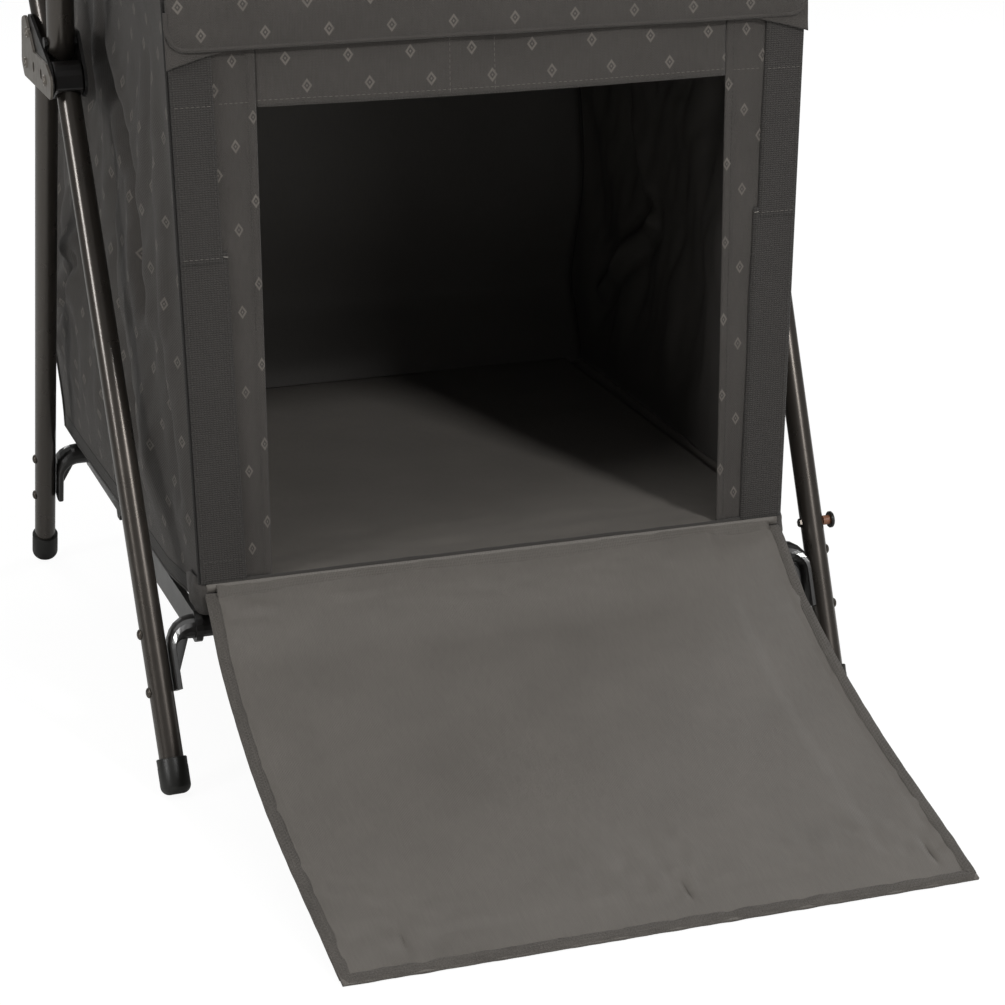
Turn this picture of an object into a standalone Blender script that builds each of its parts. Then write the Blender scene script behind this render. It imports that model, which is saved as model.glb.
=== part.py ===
"""Fabric camp kitchen cupboard on a folding tube frame.

Metres, +Z up. +X is the cupboard's right side and +Y its back. The frame is
symmetric about its hub plane, and HUB_Y puts the origin in the middle of the
footprint, on the ground. Side is -1 for left and +1 for right. End is -1 for
front and +1 for rear.
"""

import math

import bmesh
import bpy
from mathutils import Matrix, Vector

SIDES = {"left": -1, "right": 1}
ENDS = {"front": -1, "rear": 1}

# Clearances
GAP = 0.0003
PIN_PLAY = 0.0003
HUB_PLAY = 0.0011
OVERRUN = 0.004

# Legs
LEG_D = 0.019
LEG_WALL = 0.0012
LEG_FLOOR_X = 0.2789
LEG_FLOOR_Y = 0.2887
LEG_PIVOT_Y = 0.0434
LEG_PIVOT_Z = 0.515
LEG_TOP_PAST_PIVOT = 0.007

# Upper tubes
UPPER_D = 0.022
UPPER_WALL = 0.0012
UPPER_PIVOT_IN = 0.0149
UPPER_PIVOT_RISE = 0.027
UPPER_END_PAST_PIVOT = 0.010
UPPER_TOP_PAST_BAR = 0.015
UPPER_SPLAY = 0.055

# Hub
HUB_PAST_FOOT_X = 0.0119
PIN_D = 0.006
PIN_HEAD_D = 0.009
PIN_HEAD_T = 0.0016
CHEEK_T = 0.0024
HUB_CHEEK_R = 0.0145
HUB_UPPER_R = 0.0085
HUB_WEB_HALF_Y = 0.009
HUB_WEB_LOW = 0.021
HUB_WEB_HIGH = 0.025
HUB_FRONT_LIP = 0.0185
PLATE_T = 0.002
PLATE_HOLE_D = 0.0085
PLATE_HALF_LENGTH = 0.066
PLATE_BELOW_PIVOT = 0.0125
PLATE_RISE = 0.052
PLATE_CORNER_R = 0.006
PLATE_HOLE_RISE = 0.002
PLATE_OUTLINE_SHARES = (
    (-0.96, 0.00),
    (0.84, 0.00),
    (1.00, 0.20),
    (0.82, 0.92),
    (0.58, 1.00),
    (0.10, 0.52),
    (-0.74, 0.50),
    (-1.06, 0.34),
)
PLATE_HOLE_Y_SHARES = (-0.38, 0.13)

# Leg boots
BOOT_WALL = 0.0017
BOOT_END_ROOM = 0.0050
BOOT_FOOT_ROOM = 0.0029
BOOT_BELOW_PIVOT = 0.0125
BOOT_BEVEL = 0.0016

# Rubber feet
FOOT_WALL = 0.0021
FOOT_LENGTH = 0.0285
FOOT_ROUND = 0.007
FOOT_SINK = 0.0008
FOOT_SOLE = 0.004
FOOT_GROOVE_DROP = 0.009
FOOT_GROOVE_W = 0.002
FOOT_GROOVE_DEPTH = 0.0007
FOOT_LIP = 0.0006

# Cross bars
BAR_D = 0.019
BAR_FLAT_T = 0.006
BAR_FLAT_W = 0.025
BAR_BEND_R = 0.0165
BASE_BAR_Z = 0.117
BASE_BAR_END_DROP = 0.048
TOP_BAR_Z = 0.962
TOP_BAR_END_DROP = 0.046
GUSSET_T = 0.0025
GUSSET_ALONG = 0.0180
GUSSET_DOWN = 0.0400

# Transport stud on the right front leg
STUD_Z = 0.137
STUD_SHANK_D = 0.006
STUD_SLEEVE_D = 0.0080
STUD_SLEEVE_T = 0.0060
STUD_HEAD_D = 0.0138
STUD_HEAD_T = 0.0030
STUD_NUT_D = 0.0078
STUD_NUT_T = 0.0018

# Folding stretchers
STRETCHER_T = 0.0054
STRETCHER_H = 0.0245
STRETCHER_IN_FROM_LEG = 0.0413
STRETCHER_EYE_WALL = 0.0030
STRETCHER_LAP = 0.013
STRETCHER_TAB_Y_SHARE = 0.352
STRETCHER_TAB_W = 0.016
STRETCHER_TAB_DROP = 0.006

# Upper tube plugs
PLUG_STEM = 0.012
PLUG_CAP_T = 0.0035

# Cabinet
CAB_IN_FROM_LEG = 0.0364
CAB_WIDER_AT_TOP = 0.0165
CAB_FRONT_PAST_BAR = 0.0080
CAB_BACK_PAST_BAR = 0.0250
FLOOR_OVER_BAR = 0.0300
HEM_DROP = 0.0100
ROOF_UNDER_BAR = 0.0230
FABRIC_T = 0.0025
HEM_FLARE = 0.0030
FOLD_DEPTH = 0.0050
FOLD_PITCH = 0.1150
FOLD_DRIFT = 2.2
BACK_BULGE = 0.0330
BACK_BULGE_RISE = 0.0750
BACK_BULGE_REACH = 0.0550
BACK_WALL_T = 0.0025
FLOOR_T = 0.0080
FLOOR_STEP = 0.0010
SHELF_OVER_BAND = 0.0020
SHELF_T = 0.0060
SHELF_SET_BACK = 0.0040

# Front face
STILE_T = 0.0025
STILE_W = 0.0555
HEADER_H = 0.0455
WEBBING_T = 0.0023
WEBBING_W = 0.0315
WEBBING_UNDER_BAND = 0.0040
BAND_T = 0.0030
BAND_LOW_Z = 0.5670
BAND_H = 0.0400
BAND_PAST_SIDE = 0.0105
BAND_FLAP_DROP = 0.0135
BAND_FLAP_W = 0.0630
BAND_CORNER_R = 0.0070
TOP_STRIP_H = 0.0280

# Lower door
LOWER_DOOR_IN_FROM_SIDE = 0.0015
LOWER_DOOR_UNDER_FLAP = 0.0035
DOOR_T = 0.0026
DOOR_CORNER_R = 0.0120
DOOR_GAP = 0.0001

# Upper door
UPPER_DOOR_PAST_OPENING = 0.0260
UPPER_DOOR_UNDER_ROOF = 0.0060
UPPER_DOOR_AXIS_RISE = 0.0006

# Hanging loops
LOOP_IN_FROM_SIDE = 0.1010
LOOP_W = 0.0250
LOOP_T = 0.0016
LOOP_STEM_T = 0.0030

# Worktop and the saddles that carry it
SADDLE_PAST_LOOP = 0.0550
SADDLE_W = 0.0260
SADDLE_T = 0.0025
SADDLE_HALF = 0.0120
SADDLE_MOUTH_DEG = 100.0
WORKTOP_PAST_BAR = 0.0214
WORKTOP_SIDE_ROOM = 0.0035
WORKTOP_T = 0.0150
EDGE_T = 0.0015
EDGE_LIP = 0.0080

# Facets
TUBE_SEGMENTS = 20
BAR_SEGMENTS = 16
HOLE_SEGMENTS = 16
BEND_STEPS = 6
ARC_STEPS = 5
CLOTH_COLUMNS = 18
CLOTH_ROWS = 18
SMOOTH_ANGLE = math.radians(35)
STRAIGHT_HALF_ANGLE = math.radians(88)
NEARLY_ALONG = 0.9

# Worked out from the sizes above
LEG_SLOPE = (LEG_FLOOR_Y - LEG_PIVOT_Y) / LEG_PIVOT_Z
LEG_LEAN = math.atan(LEG_SLOPE)
LEG_SPLAY = HUB_PAST_FOOT_X / LEG_PIVOT_Z
HUB_AXIS_X = LEG_FLOOR_X + HUB_PAST_FOOT_X
HUB_HALF_X = UPPER_D / 2 + HUB_PLAY
CHEEK_OUT_X = HUB_AXIS_X + HUB_HALF_X
CHEEK_IN_X = HUB_AXIS_X - HUB_HALF_X
UPPER_PIVOT_Y = LEG_PIVOT_Y - UPPER_PIVOT_IN
UPPER_PIVOT_Z = LEG_PIVOT_Z + UPPER_PIVOT_RISE
UPPER_TOP_Z = TOP_BAR_Z + UPPER_TOP_PAST_BAR
BASE_BAR_Y = LEG_FLOOR_Y - LEG_SLOPE * BASE_BAR_Z
TOP_BAR_Y = UPPER_PIVOT_Y + LEG_SLOPE * (TOP_BAR_Z - UPPER_PIVOT_Z)
STRETCHER_INNER_X = LEG_FLOOR_X - STRETCHER_IN_FROM_LEG
CAB_HALF_BOTTOM = LEG_FLOOR_X - CAB_IN_FROM_LEG
CAB_HALF_TOP = CAB_HALF_BOTTOM + CAB_WIDER_AT_TOP
CAB_FRONT_Y = BASE_BAR_Y + CAB_FRONT_PAST_BAR
CAB_BACK_Y = BASE_BAR_Y + CAB_BACK_PAST_BAR
FLOOR_Z = BASE_BAR_Z + FLOOR_OVER_BAR
CAB_HEM_Z = FLOOR_Z - HEM_DROP
FRONT_LOW_Z = FLOOR_Z + FLOOR_T - FLOOR_STEP + GAP
CAB_TOP_Z = TOP_BAR_Z - ROOF_UNDER_BAR
BACK_BULGE_Z = FLOOR_Z + BACK_BULGE_RISE
BAND_HIGH_Z = BAND_LOW_Z + BAND_H
SHELF_TOP_Z = BAND_LOW_Z + SHELF_OVER_BAND
OPENING_TOP_Z = BAND_LOW_Z - HEADER_H
OPENING_HALF = CAB_HALF_BOTTOM - STILE_W
WEBBING_TOP_Z = BAND_LOW_Z - WEBBING_UNDER_BAND
BAND_HALF = CAB_HALF_BOTTOM + BAND_PAST_SIDE
BAND_FLAP_IN = BAND_HALF - BAND_FLAP_W
BAND_CORNER_Z = BAND_LOW_Z - BAND_FLAP_DROP
LOWER_DOOR_HALF = CAB_HALF_BOTTOM - LOWER_DOOR_IN_FROM_SIDE
LOWER_DOOR_LENGTH = BAND_CORNER_Z - LOWER_DOOR_UNDER_FLAP - FLOOR_Z
UPPER_DOOR_HALF = OPENING_HALF + UPPER_DOOR_PAST_OPENING
UPPER_DOOR_TOP_Z = CAB_TOP_Z - UPPER_DOOR_UNDER_ROOF
LOOP_X = CAB_HALF_TOP - LOOP_IN_FROM_SIDE - LOOP_W
SADDLE_X = LOOP_X + LOOP_W + SADDLE_PAST_LOOP
STILE_FRONT_Y = CAB_FRONT_Y + GAP + STILE_T
WEBBING_FRONT_Y = STILE_FRONT_Y + GAP + WEBBING_T
BAND_FRONT_Y = WEBBING_FRONT_Y + GAP + BAND_T
DOOR_AXIS_Y = WEBBING_FRONT_Y + GAP - DOOR_GAP
DOOR_OUT = DOOR_GAP + DOOR_T
DOOR_RUN = math.hypot(LOWER_DOOR_LENGTH, DOOR_OUT)
DOOR_DROP = math.asin((FLOOR_Z - GAP) / DOOR_RUN) - math.atan(DOOR_OUT / LOWER_DOOR_LENGTH)
BOOT_END_R = LEG_D / 2 + BOOT_END_ROOM
BOOT_FOOT_HALF = LEG_D / 2 + BOOT_FOOT_ROOM
FOOT_D = LEG_D + 2 * (GAP + FOOT_WALL)
FOOT_SEAT = (
    (FOOT_ROUND - FOOT_SINK + (FOOT_D / 2 - FOOT_ROUND) * math.sin(LEG_LEAN)) / math.cos(LEG_LEAN)
    - FOOT_ROUND
)
FRONT_REACH = DOOR_AXIS_Y + LOWER_DOOR_LENGTH * math.cos(DOOR_DROP)
REAR_REACH = (
    LEG_FLOOR_Y
    - (FOOT_SEAT + FOOT_ROUND) * math.sin(LEG_LEAN)
    + (FOOT_D / 2 - FOOT_ROUND) * math.cos(LEG_LEAN)
    + FOOT_ROUND
)
HUB_Y = (FRONT_REACH - REAR_REACH) / 2
UPPER_DOOR_AXIS_Y = BAND_FRONT_Y + GAP
UPPER_DOOR_AXIS_Z = BAND_HIGH_Z + UPPER_DOOR_AXIS_RISE
WORKTOP_Z = TOP_BAR_Z + BAR_D / 2 + GAP + SADDLE_T - EDGE_T
WORKTOP_HALF_X = (
    HUB_AXIS_X + UPPER_SPLAY * (WORKTOP_Z - UPPER_PIVOT_Z) - UPPER_D / 2 - WORKTOP_SIDE_ROOM
)
WORKTOP_HALF_Y = TOP_BAR_Y + WORKTOP_PAST_BAR


def linear(hex_colour):
    """Turn an sRGB hex colour into linear RGBA."""
    value = int(hex_colour.lstrip("#"), 16)
    channels = []
    for shift in (16, 8, 0):
        part = ((value >> shift) & 255) / 255
        channels.append(part / 12.92 if part <= 0.04045 else ((part + 0.055) / 1.055) ** 2.4)
    return (*channels, 1.0)


def material(name, hex_colour, roughness, metallic=0.0):
    """A Principled material, made once for each name."""
    found = bpy.data.materials.get(name)
    if found:
        return found
    made = bpy.data.materials.new(name)
    made.use_nodes = True
    shader = made.node_tree.nodes["Principled BSDF"]
    shader.inputs["Base Color"].default_value = linear(hex_colour)
    shader.inputs["Roughness"].default_value = roughness
    shader.inputs["Metallic"].default_value = metallic
    return made


def leg_tube_paint():
    return material("leg_tube_paint", "#5a5753", 0.32, 0.6)


def bar_paint():
    return material("bar_paint", "#2b2a29", 0.4, 0.3)


def hub_steel():
    return material("hub_steel", "#9c948c", 0.35, 1.0)


def black_plastic():
    return material("black_plastic", "#151413", 0.5)


def foot_rubber():
    return material("foot_rubber", "#232520", 0.75)


def stud_plastic():
    return material("stud_plastic", "#6b4a3a", 0.45)


def shell_fabric():
    return material("shell_fabric", "#45413d", 0.85)


def lining_fabric():
    return material("lining_fabric", "#5d5954", 0.9)


def webbing_fabric():
    return material("webbing_fabric", "#3b3836", 0.8)


def shelf_board():
    return material("shelf_board", "#4a4744", 0.8)


def worktop_laminate():
    return material("worktop_laminate", "#4c4a47", 0.45)


def edge_aluminium():
    return material("edge_aluminium", "#a9a7a3", 0.35, 1.0)


def clear_scene():
    for item in list(bpy.data.objects):
        bpy.data.objects.remove(item, do_unlink=True)


def empty(name, location, parent=None):
    """An empty that carries the pieces of one moving body."""
    holder = bpy.data.objects.new(name, None)
    bpy.context.collection.objects.link(holder)
    holder.parent = parent
    holder.location = location
    return holder


class Body:
    """One moving body: an empty on its joint axis, at a place in the hub frame."""

    def __init__(self, name, pivot, parent=None):
        self.pivot = Vector(pivot)
        local = self.pivot - parent.pivot if parent else self.pivot + Vector((0, HUB_Y, 0))
        self.empty = empty(name, local, parent.empty if parent else None)

    def add(self, name, work, finish=None, helper=False):
        """Turn a bmesh in hub coordinates into an object of this body."""
        bmesh.ops.recalc_face_normals(work, faces=work.faces[:])
        work.transform(Matrix.Translation(-self.pivot))
        mesh = bpy.data.meshes.new(name)
        work.to_mesh(mesh)
        work.free()
        piece = bpy.data.objects.new(name, mesh)
        bpy.context.collection.objects.link(piece)
        piece.parent = self.empty
        if helper:
            piece.hide_render = True
            piece.display_type = "WIRE"
            return piece
        mesh.materials.append(finish)
        mesh.shade_smooth()
        mesh.set_sharp_from_angle(angle=SMOOTH_ANGLE)
        return piece


def combine(piece, tool, operation):
    """Cut or join a helper shape into a piece."""
    modifier = piece.modifiers.new(f"{operation.lower()}_{tool.name}", "BOOLEAN")
    modifier.operation = operation
    modifier.solver = "EXACT"
    modifier.object = tool


def bevel(piece, width, segments=2):
    """Round the sharp edges of a piece."""
    modifier = piece.modifiers.new("rounded_edges", "BEVEL")
    modifier.width = width
    modifier.segments = segments
    modifier.limit_method = "ANGLE"
    modifier.angle_limit = SMOOTH_ANGLE


def skin(work, rings, closed=False):
    """Bridge rings of equal length, and cap the ends unless the path is closed."""
    pairs = list(zip(rings, rings[1:]))
    if closed:
        pairs.append((rings[-1], rings[0]))
    for first, second in pairs:
        count = len(first)
        for index in range(count):
            after = (index + 1) % count
            work.faces.new((first[index], first[after], second[after], second[index]))
    if not closed:
        work.faces.new(rings[0])
        work.faces.new(list(reversed(rings[-1])))


def loft(sections, closed=False):
    """A closed body through rings of points."""
    work = bmesh.new()
    rings = [[work.verts.new(point) for point in section] for section in sections]
    skin(work, rings, closed)
    return work


def axis_frame(direction):
    """Two unit vectors square to a direction."""
    along = Vector(direction).normalized()
    guide = Vector((1, 0, 0)) if abs(along.x) < NEARLY_ALONG else Vector((0, 0, 1))
    first = along.cross(guide).normalized()
    return first, along.cross(first).normalized()


def circle(centre, direction, radius, segments):
    """Points of a circle round a centre."""
    first, second = axis_frame(direction)
    points = []
    for index in range(segments):
        angle = 2 * math.pi * index / segments
        points.append(centre + radius * (first * math.cos(angle) + second * math.sin(angle)))
    return points


def turned(start, direction, profile, segments):
    """A body of revolution: profile holds (distance, radius) from one axis end to the other."""
    along = Vector(direction).normalized()
    sections = [circle(start + along * run, along, radius, segments) for run, radius in profile]
    return loft(sections)


def hollow(start, end, outer, inner, segments=TUBE_SEGMENTS):
    """An open tube between two points."""
    along = (end - start).normalized()
    sections = [
        circle(start, along, outer, segments),
        circle(end, along, outer, segments),
        circle(end, along, inner, segments),
        circle(start, along, inner, segments),
    ]
    return loft(sections, closed=True)


def rod_x(x_low, x_high, y, z, radius, segments=HOLE_SEGMENTS):
    """A round rod along X."""
    start = Vector((x_low, y, z))
    return turned(start, (1, 0, 0), [(0, radius), (x_high - x_low, radius)], segments)


def prism(outline, low, high, place):
    """Extrude an outline; place turns (u, v, height) into a point."""
    return loft([[place(u, v, height) for u, v in outline] for height in (low, high)])


def side_place(u, v, height):
    """Outline in the side plane (Y, Z), extruded along X."""
    return Vector((height, u, v))


def front_place(u, v, height):
    """Outline in the front plane (X, Z), extruded along Y."""
    return Vector((u, height, v))


def block(low, high):
    """A box between two corners."""
    outline = [(low[1], low[2]), (high[1], low[2]), (high[1], high[2]), (low[1], high[2])]
    return prism(outline, low[0], high[0], side_place)


def rounded(points, radii, steps=ARC_STEPS):
    """Round the corners of an outline."""
    outline = []
    count = len(points)
    for index, point in enumerate(points):
        here = Vector(point)
        before = (Vector(points[index - 1]) - here).normalized()
        after = (Vector(points[(index + 1) % count]) - here).normalized()
        radius = radii[index] if isinstance(radii, (list, tuple)) else radii
        half = before.angle(after) / 2
        if radius <= 0 or half > STRAIGHT_HALF_ANGLE:
            outline.append(tuple(here))
            continue
        start = here + before * (radius / math.tan(half))
        centre = here + (before + after).normalized() * (radius / math.sin(half))
        spoke = start - centre
        turn = math.pi - 2 * half
        sense = -1 if before.cross(after) < 0 else 1
        for step in range(steps + 1):
            angle = -sense * turn * step / steps
            outline.append(tuple(centre + Matrix.Rotation(angle, 2) @ spoke))
    return outline


def leg_point(side, end, height):
    """A point on a leg's axis at a height."""
    across = LEG_FLOOR_X + LEG_SPLAY * height
    out = LEG_FLOOR_Y - LEG_SLOPE * height
    return Vector((side * across, end * out, height))


def upper_point(side, end, height):
    """A point on an upper tube's axis at a height."""
    rise = height - UPPER_PIVOT_Z
    across = HUB_AXIS_X + UPPER_SPLAY * rise
    out = UPPER_PIVOT_Y + LEG_SLOPE * rise
    return Vector((side * across, end * out, height))


def leg_direction(side, end):
    return (leg_point(side, end, LEG_PIVOT_Z) - leg_point(side, end, 0)).normalized()


def upper_direction(side, end):
    top = upper_point(side, end, UPPER_TOP_Z)
    return (top - upper_point(side, end, UPPER_PIVOT_Z)).normalized()


def cut_pin_hole(body, piece, side, y, z):
    """Cut the running hole for a hub pin."""
    radius = PIN_D / 2 + PIN_PLAY
    reach = (HUB_AXIS_X - UPPER_D, HUB_AXIS_X + UPPER_D)
    low, high = sorted(side * value for value in reach)
    tool = body.add(f"cut_pin_{piece.name}", rod_x(low, high, y, z, radius), helper=True)
    combine(piece, tool, "DIFFERENCE")


def make_leg(body, side_name, end_name):
    """A lower frame tube, from inside its foot to just past its hub pin."""
    side, end = SIDES[side_name], ENDS[end_name]
    along = leg_direction(side, end)
    start = leg_point(side, end, 0) + along * (FOOT_SEAT + FOOT_SOLE + GAP)
    top = leg_point(side, end, LEG_PIVOT_Z) + along * LEG_TOP_PAST_PIVOT
    work = hollow(start, top, LEG_D / 2, LEG_D / 2 - LEG_WALL)
    leg = body.add(f"leg_{end_name}_{side_name}", work, leg_tube_paint())
    cut_pin_hole(body, leg, side, end * LEG_PIVOT_Y, LEG_PIVOT_Z)
    if (side_name, end_name) == ("right", "front"):
        cut_stud_hole(body, leg)
    return leg


def cut_stud_hole(body, leg):
    """Cut the hole for the transport stud."""
    centre = leg_point(1, -1, STUD_Z)
    work = rod_x(centre.x - LEG_D, centre.x + LEG_D, centre.y, STUD_Z, STUD_SHANK_D / 2 + GAP)
    combine(leg, body.add("cut_stud", work, helper=True), "DIFFERENCE")


def make_boot(body, side_name, end_name):
    """The black moulded end that holds the leg's top between the hub cheeks."""
    side, end = SIDES[side_name], ENDS[end_name]
    pivot = leg_point(side, end, LEG_PIVOT_Z)
    along = Vector((0, -end * math.sin(LEG_LEAN), math.cos(LEG_LEAN)))
    across = Vector((0, along.z, -along.y))
    taper = math.asin((BOOT_END_R - BOOT_FOOT_HALF) / math.hypot(BOOT_END_R, BOOT_BELOW_PIVOT))
    outline = [(-BOOT_FOOT_HALF, -BOOT_BELOW_PIVOT)]
    steps = 2 * ARC_STEPS
    for step in range(steps + 1):
        angle = math.pi + taper - (math.pi + 2 * taper) * step / steps
        outline.append((BOOT_END_R * math.cos(angle), BOOT_END_R * math.sin(angle)))
    outline.append((BOOT_FOOT_HALF, -BOOT_BELOW_PIVOT))
    half = LEG_D / 2 + GAP + BOOT_WALL

    def place(u, v, height):
        return pivot + across * u + along * v + Vector((height, 0, 0))

    work = prism(outline, -half, half, place)
    boot = body.add(f"boot_{end_name}_{side_name}", work, black_plastic())
    bevel(boot, BOOT_BEVEL)
    leg_along = leg_direction(side, end)
    start = pivot - leg_along * (BOOT_BELOW_PIVOT + OVERRUN)
    run = BOOT_BELOW_PIVOT + OVERRUN + LEG_TOP_PAST_PIVOT + GAP
    bore = turned(start, leg_along, [(0, LEG_D / 2 + GAP), (run, LEG_D / 2 + GAP)], TUBE_SEGMENTS)
    combine(boot, body.add(f"bore_{boot.name}", bore, helper=True), "DIFFERENCE")
    cut_pin_hole(body, boot, side, end * LEG_PIVOT_Y, LEG_PIVOT_Z)


def foot_profile():
    """Outer profile of the rubber foot, up the leg axis."""
    radius = FOOT_D / 2
    profile = []
    for step in range(ARC_STEPS + 1):
        angle = math.pi / 2 * step / ARC_STEPS
        run = FOOT_ROUND * (1 - math.cos(angle))
        profile.append((run, radius - FOOT_ROUND + FOOT_ROUND * math.sin(angle)))
    groove = FOOT_LENGTH - FOOT_GROOVE_DROP
    profile += [
        (groove - FOOT_GROOVE_W, radius),
        (groove - FOOT_GROOVE_W / 2, radius - FOOT_GROOVE_DEPTH),
        (groove, radius),
        (FOOT_LENGTH - FOOT_LIP, radius),
        (FOOT_LENGTH, radius - FOOT_LIP),
    ]
    return profile


def make_foot(body, side_name, end_name):
    """A rubber cup pushed over the leg's end, flat where it stands."""
    side, end = SIDES[side_name], ENDS[end_name]
    along = leg_direction(side, end)
    base = leg_point(side, end, 0) + along * FOOT_SEAT
    bore = LEG_D / 2 + GAP
    profile = foot_profile() + [(FOOT_LENGTH, bore), (FOOT_SOLE, bore)]
    work = turned(base, along, profile, TUBE_SEGMENTS)
    foot = body.add(f"foot_{end_name}_{side_name}", work, foot_rubber())
    low = base - Vector((FOOT_D, FOOT_D, FOOT_D))
    high = base + Vector((FOOT_D, FOOT_D, 0))
    ground = block(low, (high.x, high.y, 0))
    combine(foot, body.add(f"ground_{foot.name}", ground, helper=True), "DIFFERENCE")


def bar_section(centre, normal, across, flat):
    """One ring of a cross bar: round at flat 0, pressed flat at flat 1."""
    half_t = BAR_D / 2 + (BAR_FLAT_T / 2 - BAR_D / 2) * flat
    half_w = BAR_D / 2 + (BAR_FLAT_W / 2 - BAR_D / 2) * flat
    power = 1 - flat / 2
    ring = []
    for index in range(BAR_SEGMENTS):
        angle = math.pi * (2 * index + 1) / BAR_SEGMENTS
        cosine, sine = math.cos(angle), math.sin(angle)
        out = math.copysign(abs(cosine) ** power, cosine) * half_t
        wide = math.copysign(abs(sine) ** power, sine) * half_w
        ring.append(centre + normal * out + across * wide)
    return ring


def bar_half(corner, inward, down, drop, across):
    """Rings of one bent end, from its pressed tip to the start of the straight run."""
    bend = inward.angle(down)
    tangent = BAR_BEND_R / math.tan(bend / 2)
    centre = corner + (inward + down).normalized() * (BAR_BEND_R / math.sin(bend / 2))
    start = corner + down * tangent
    turn = math.pi - bend
    rings = []
    outward = across.cross(down).normalized()
    for run in (drop, (drop + tangent) / 2):
        rings.append(bar_section(corner + down * run, outward, across, 1))
    spoke = start - centre
    axis = spoke.cross(corner + inward * tangent - centre).normalized()
    for step in range(BEND_STEPS + 1):
        share = step / BEND_STEPS
        turned_by = Matrix.Rotation(turn * share, 3, axis)
        ease = share * share * (3 - 2 * share)
        normal = turned_by @ outward
        rings.append(bar_section(centre + turned_by @ spoke, normal, across, 1 - ease))
    return rings


def gusset_outline(corner, inward, down):
    """The thin web in the inside corner of a bend, as three points."""
    inset = inward * (BAR_FLAT_T / 4)
    return [corner + inset, corner + inward * GUSSET_ALONG, corner + down * GUSSET_DOWN + inset]


def make_bar(body, name, point, direction, height, drop, tube_d, end):
    """A cross bar with both ends bent down along the tubes and pressed flat."""
    rings = []
    gussets = []
    for side in (-1, 1):
        axis_point = point(side, end, height)
        down = -direction(side, end)
        inward = Vector((-side, 0, 0))
        offset = tube_d / 2 + GAP + BAR_FLAT_T / 2
        across = inward.cross(down).normalized()
        square = across.cross(down).normalized()
        if square.dot(inward) < 0:
            square = -square
        corner_x = axis_point.x + (square * offset).x + (-side) * abs(square.z * offset * down.x)
        corner = Vector((corner_x, axis_point.y, axis_point.z))
        half = bar_half(corner, inward, down, drop, across * side)
        rings.append(half)
        gussets.append((corner, inward, down, across))
    left = rings[0]
    right = [list(ring) for ring in rings[1]]
    work = loft(left + align_rings(left[-1], list(reversed(right))))
    bar = body.add(name, work, bar_paint())
    for index, (corner, inward, down, across) in enumerate(gussets):
        outline = gusset_outline(corner, inward, down)
        low = [spot - across * (GUSSET_T / 2) for spot in outline]
        high = [spot + across * (GUSSET_T / 2) for spot in outline]
        web = body.add(f"gusset_{name}_{index}", loft([low, high]), helper=True)
        combine(bar, web, "UNION")
    return bar


def align_rings(reference, rings):
    """Order each ring of points like the reference ring, so that the bridge has no twist."""
    aligned = []
    last = reference
    for ring in rings:
        count = len(ring)
        options = []
        for turned_ring in (ring, list(reversed(ring))):
            for shift in range(count):
                trial = turned_ring[shift:] + turned_ring[:shift]
                centre_a = sum(last, Vector()) / count
                centre_b = sum(trial, Vector()) / count
                cost = sum(
                    ((p - centre_a) - (q - centre_b)).length_squared for p, q in zip(last, trial)
                )
                options.append((cost, trial))
        last = min(options, key=lambda option: option[0])[1]
        aligned.append(last)
    return aligned


def make_stud(body):
    """The transport stud through the right front leg: sleeve and head outside, nut inside."""
    centre = leg_point(1, -1, STUD_Z)
    inner = centre.x - LEG_D / 2 / math.cos(math.atan(LEG_SPLAY)) - GAP
    outer = centre.x + LEG_D / 2 / math.cos(math.atan(LEG_SPLAY)) + GAP
    start = inner - STUD_NUT_T
    run_in = inner - start
    run_out = outer - start
    run_sleeve = run_out + STUD_SLEEVE_T
    head_round = STUD_HEAD_T / 4
    profile = [
        (0, STUD_NUT_D / 2),
        (run_in, STUD_NUT_D / 2),
        (run_in, STUD_SHANK_D / 2),
        (run_out, STUD_SHANK_D / 2),
        (run_out, STUD_SLEEVE_D / 2),
        (run_sleeve, STUD_SLEEVE_D / 2),
        (run_sleeve, STUD_HEAD_D / 2),
        (run_sleeve + STUD_HEAD_T - head_round, STUD_HEAD_D / 2),
        (run_sleeve + STUD_HEAD_T, STUD_HEAD_D / 2 - head_round),
    ]
    work = turned(Vector((start, centre.y, STUD_Z)), (1, 0, 0), profile, TUBE_SEGMENTS)
    body.add("transport_stud", work, stud_plastic())


def make_upper(body, side_name, end_name):
    """An upper frame tube, from its hub pin to the top bar."""
    side, end = SIDES[side_name], ENDS[end_name]
    along = upper_direction(side, end)
    start = upper_point(side, end, UPPER_PIVOT_Z) - along * UPPER_END_PAST_PIVOT
    work = hollow(start, upper_point(side, end, UPPER_TOP_Z), UPPER_D / 2, UPPER_D / 2 - UPPER_WALL)
    tube = body.add(f"upright_{end_name}_{side_name}", work, leg_tube_paint())
    cut_pin_hole(body, tube, side, end * UPPER_PIVOT_Y, UPPER_PIVOT_Z)


def make_plug(body, side_name, end_name):
    """The domed plug in an upper tube's open end."""
    side, end = SIDES[side_name], ENDS[end_name]
    along = upper_direction(side, end)
    top = upper_point(side, end, UPPER_TOP_Z)
    stem = UPPER_D / 2 - UPPER_WALL - GAP
    profile = [(-PLUG_STEM, stem), (GAP, stem), (GAP, UPPER_D / 2)]
    for step in range(1, ARC_STEPS + 1):
        angle = math.pi / 2 * step / (ARC_STEPS + 1)
        profile.append((GAP + PLUG_CAP_T * math.sin(angle), UPPER_D / 2 * math.cos(angle)))
    body.add(f"plug_{end_name}_{side_name}", turned(top, along, profile, TUBE_SEGMENTS), black_plastic())


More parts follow.
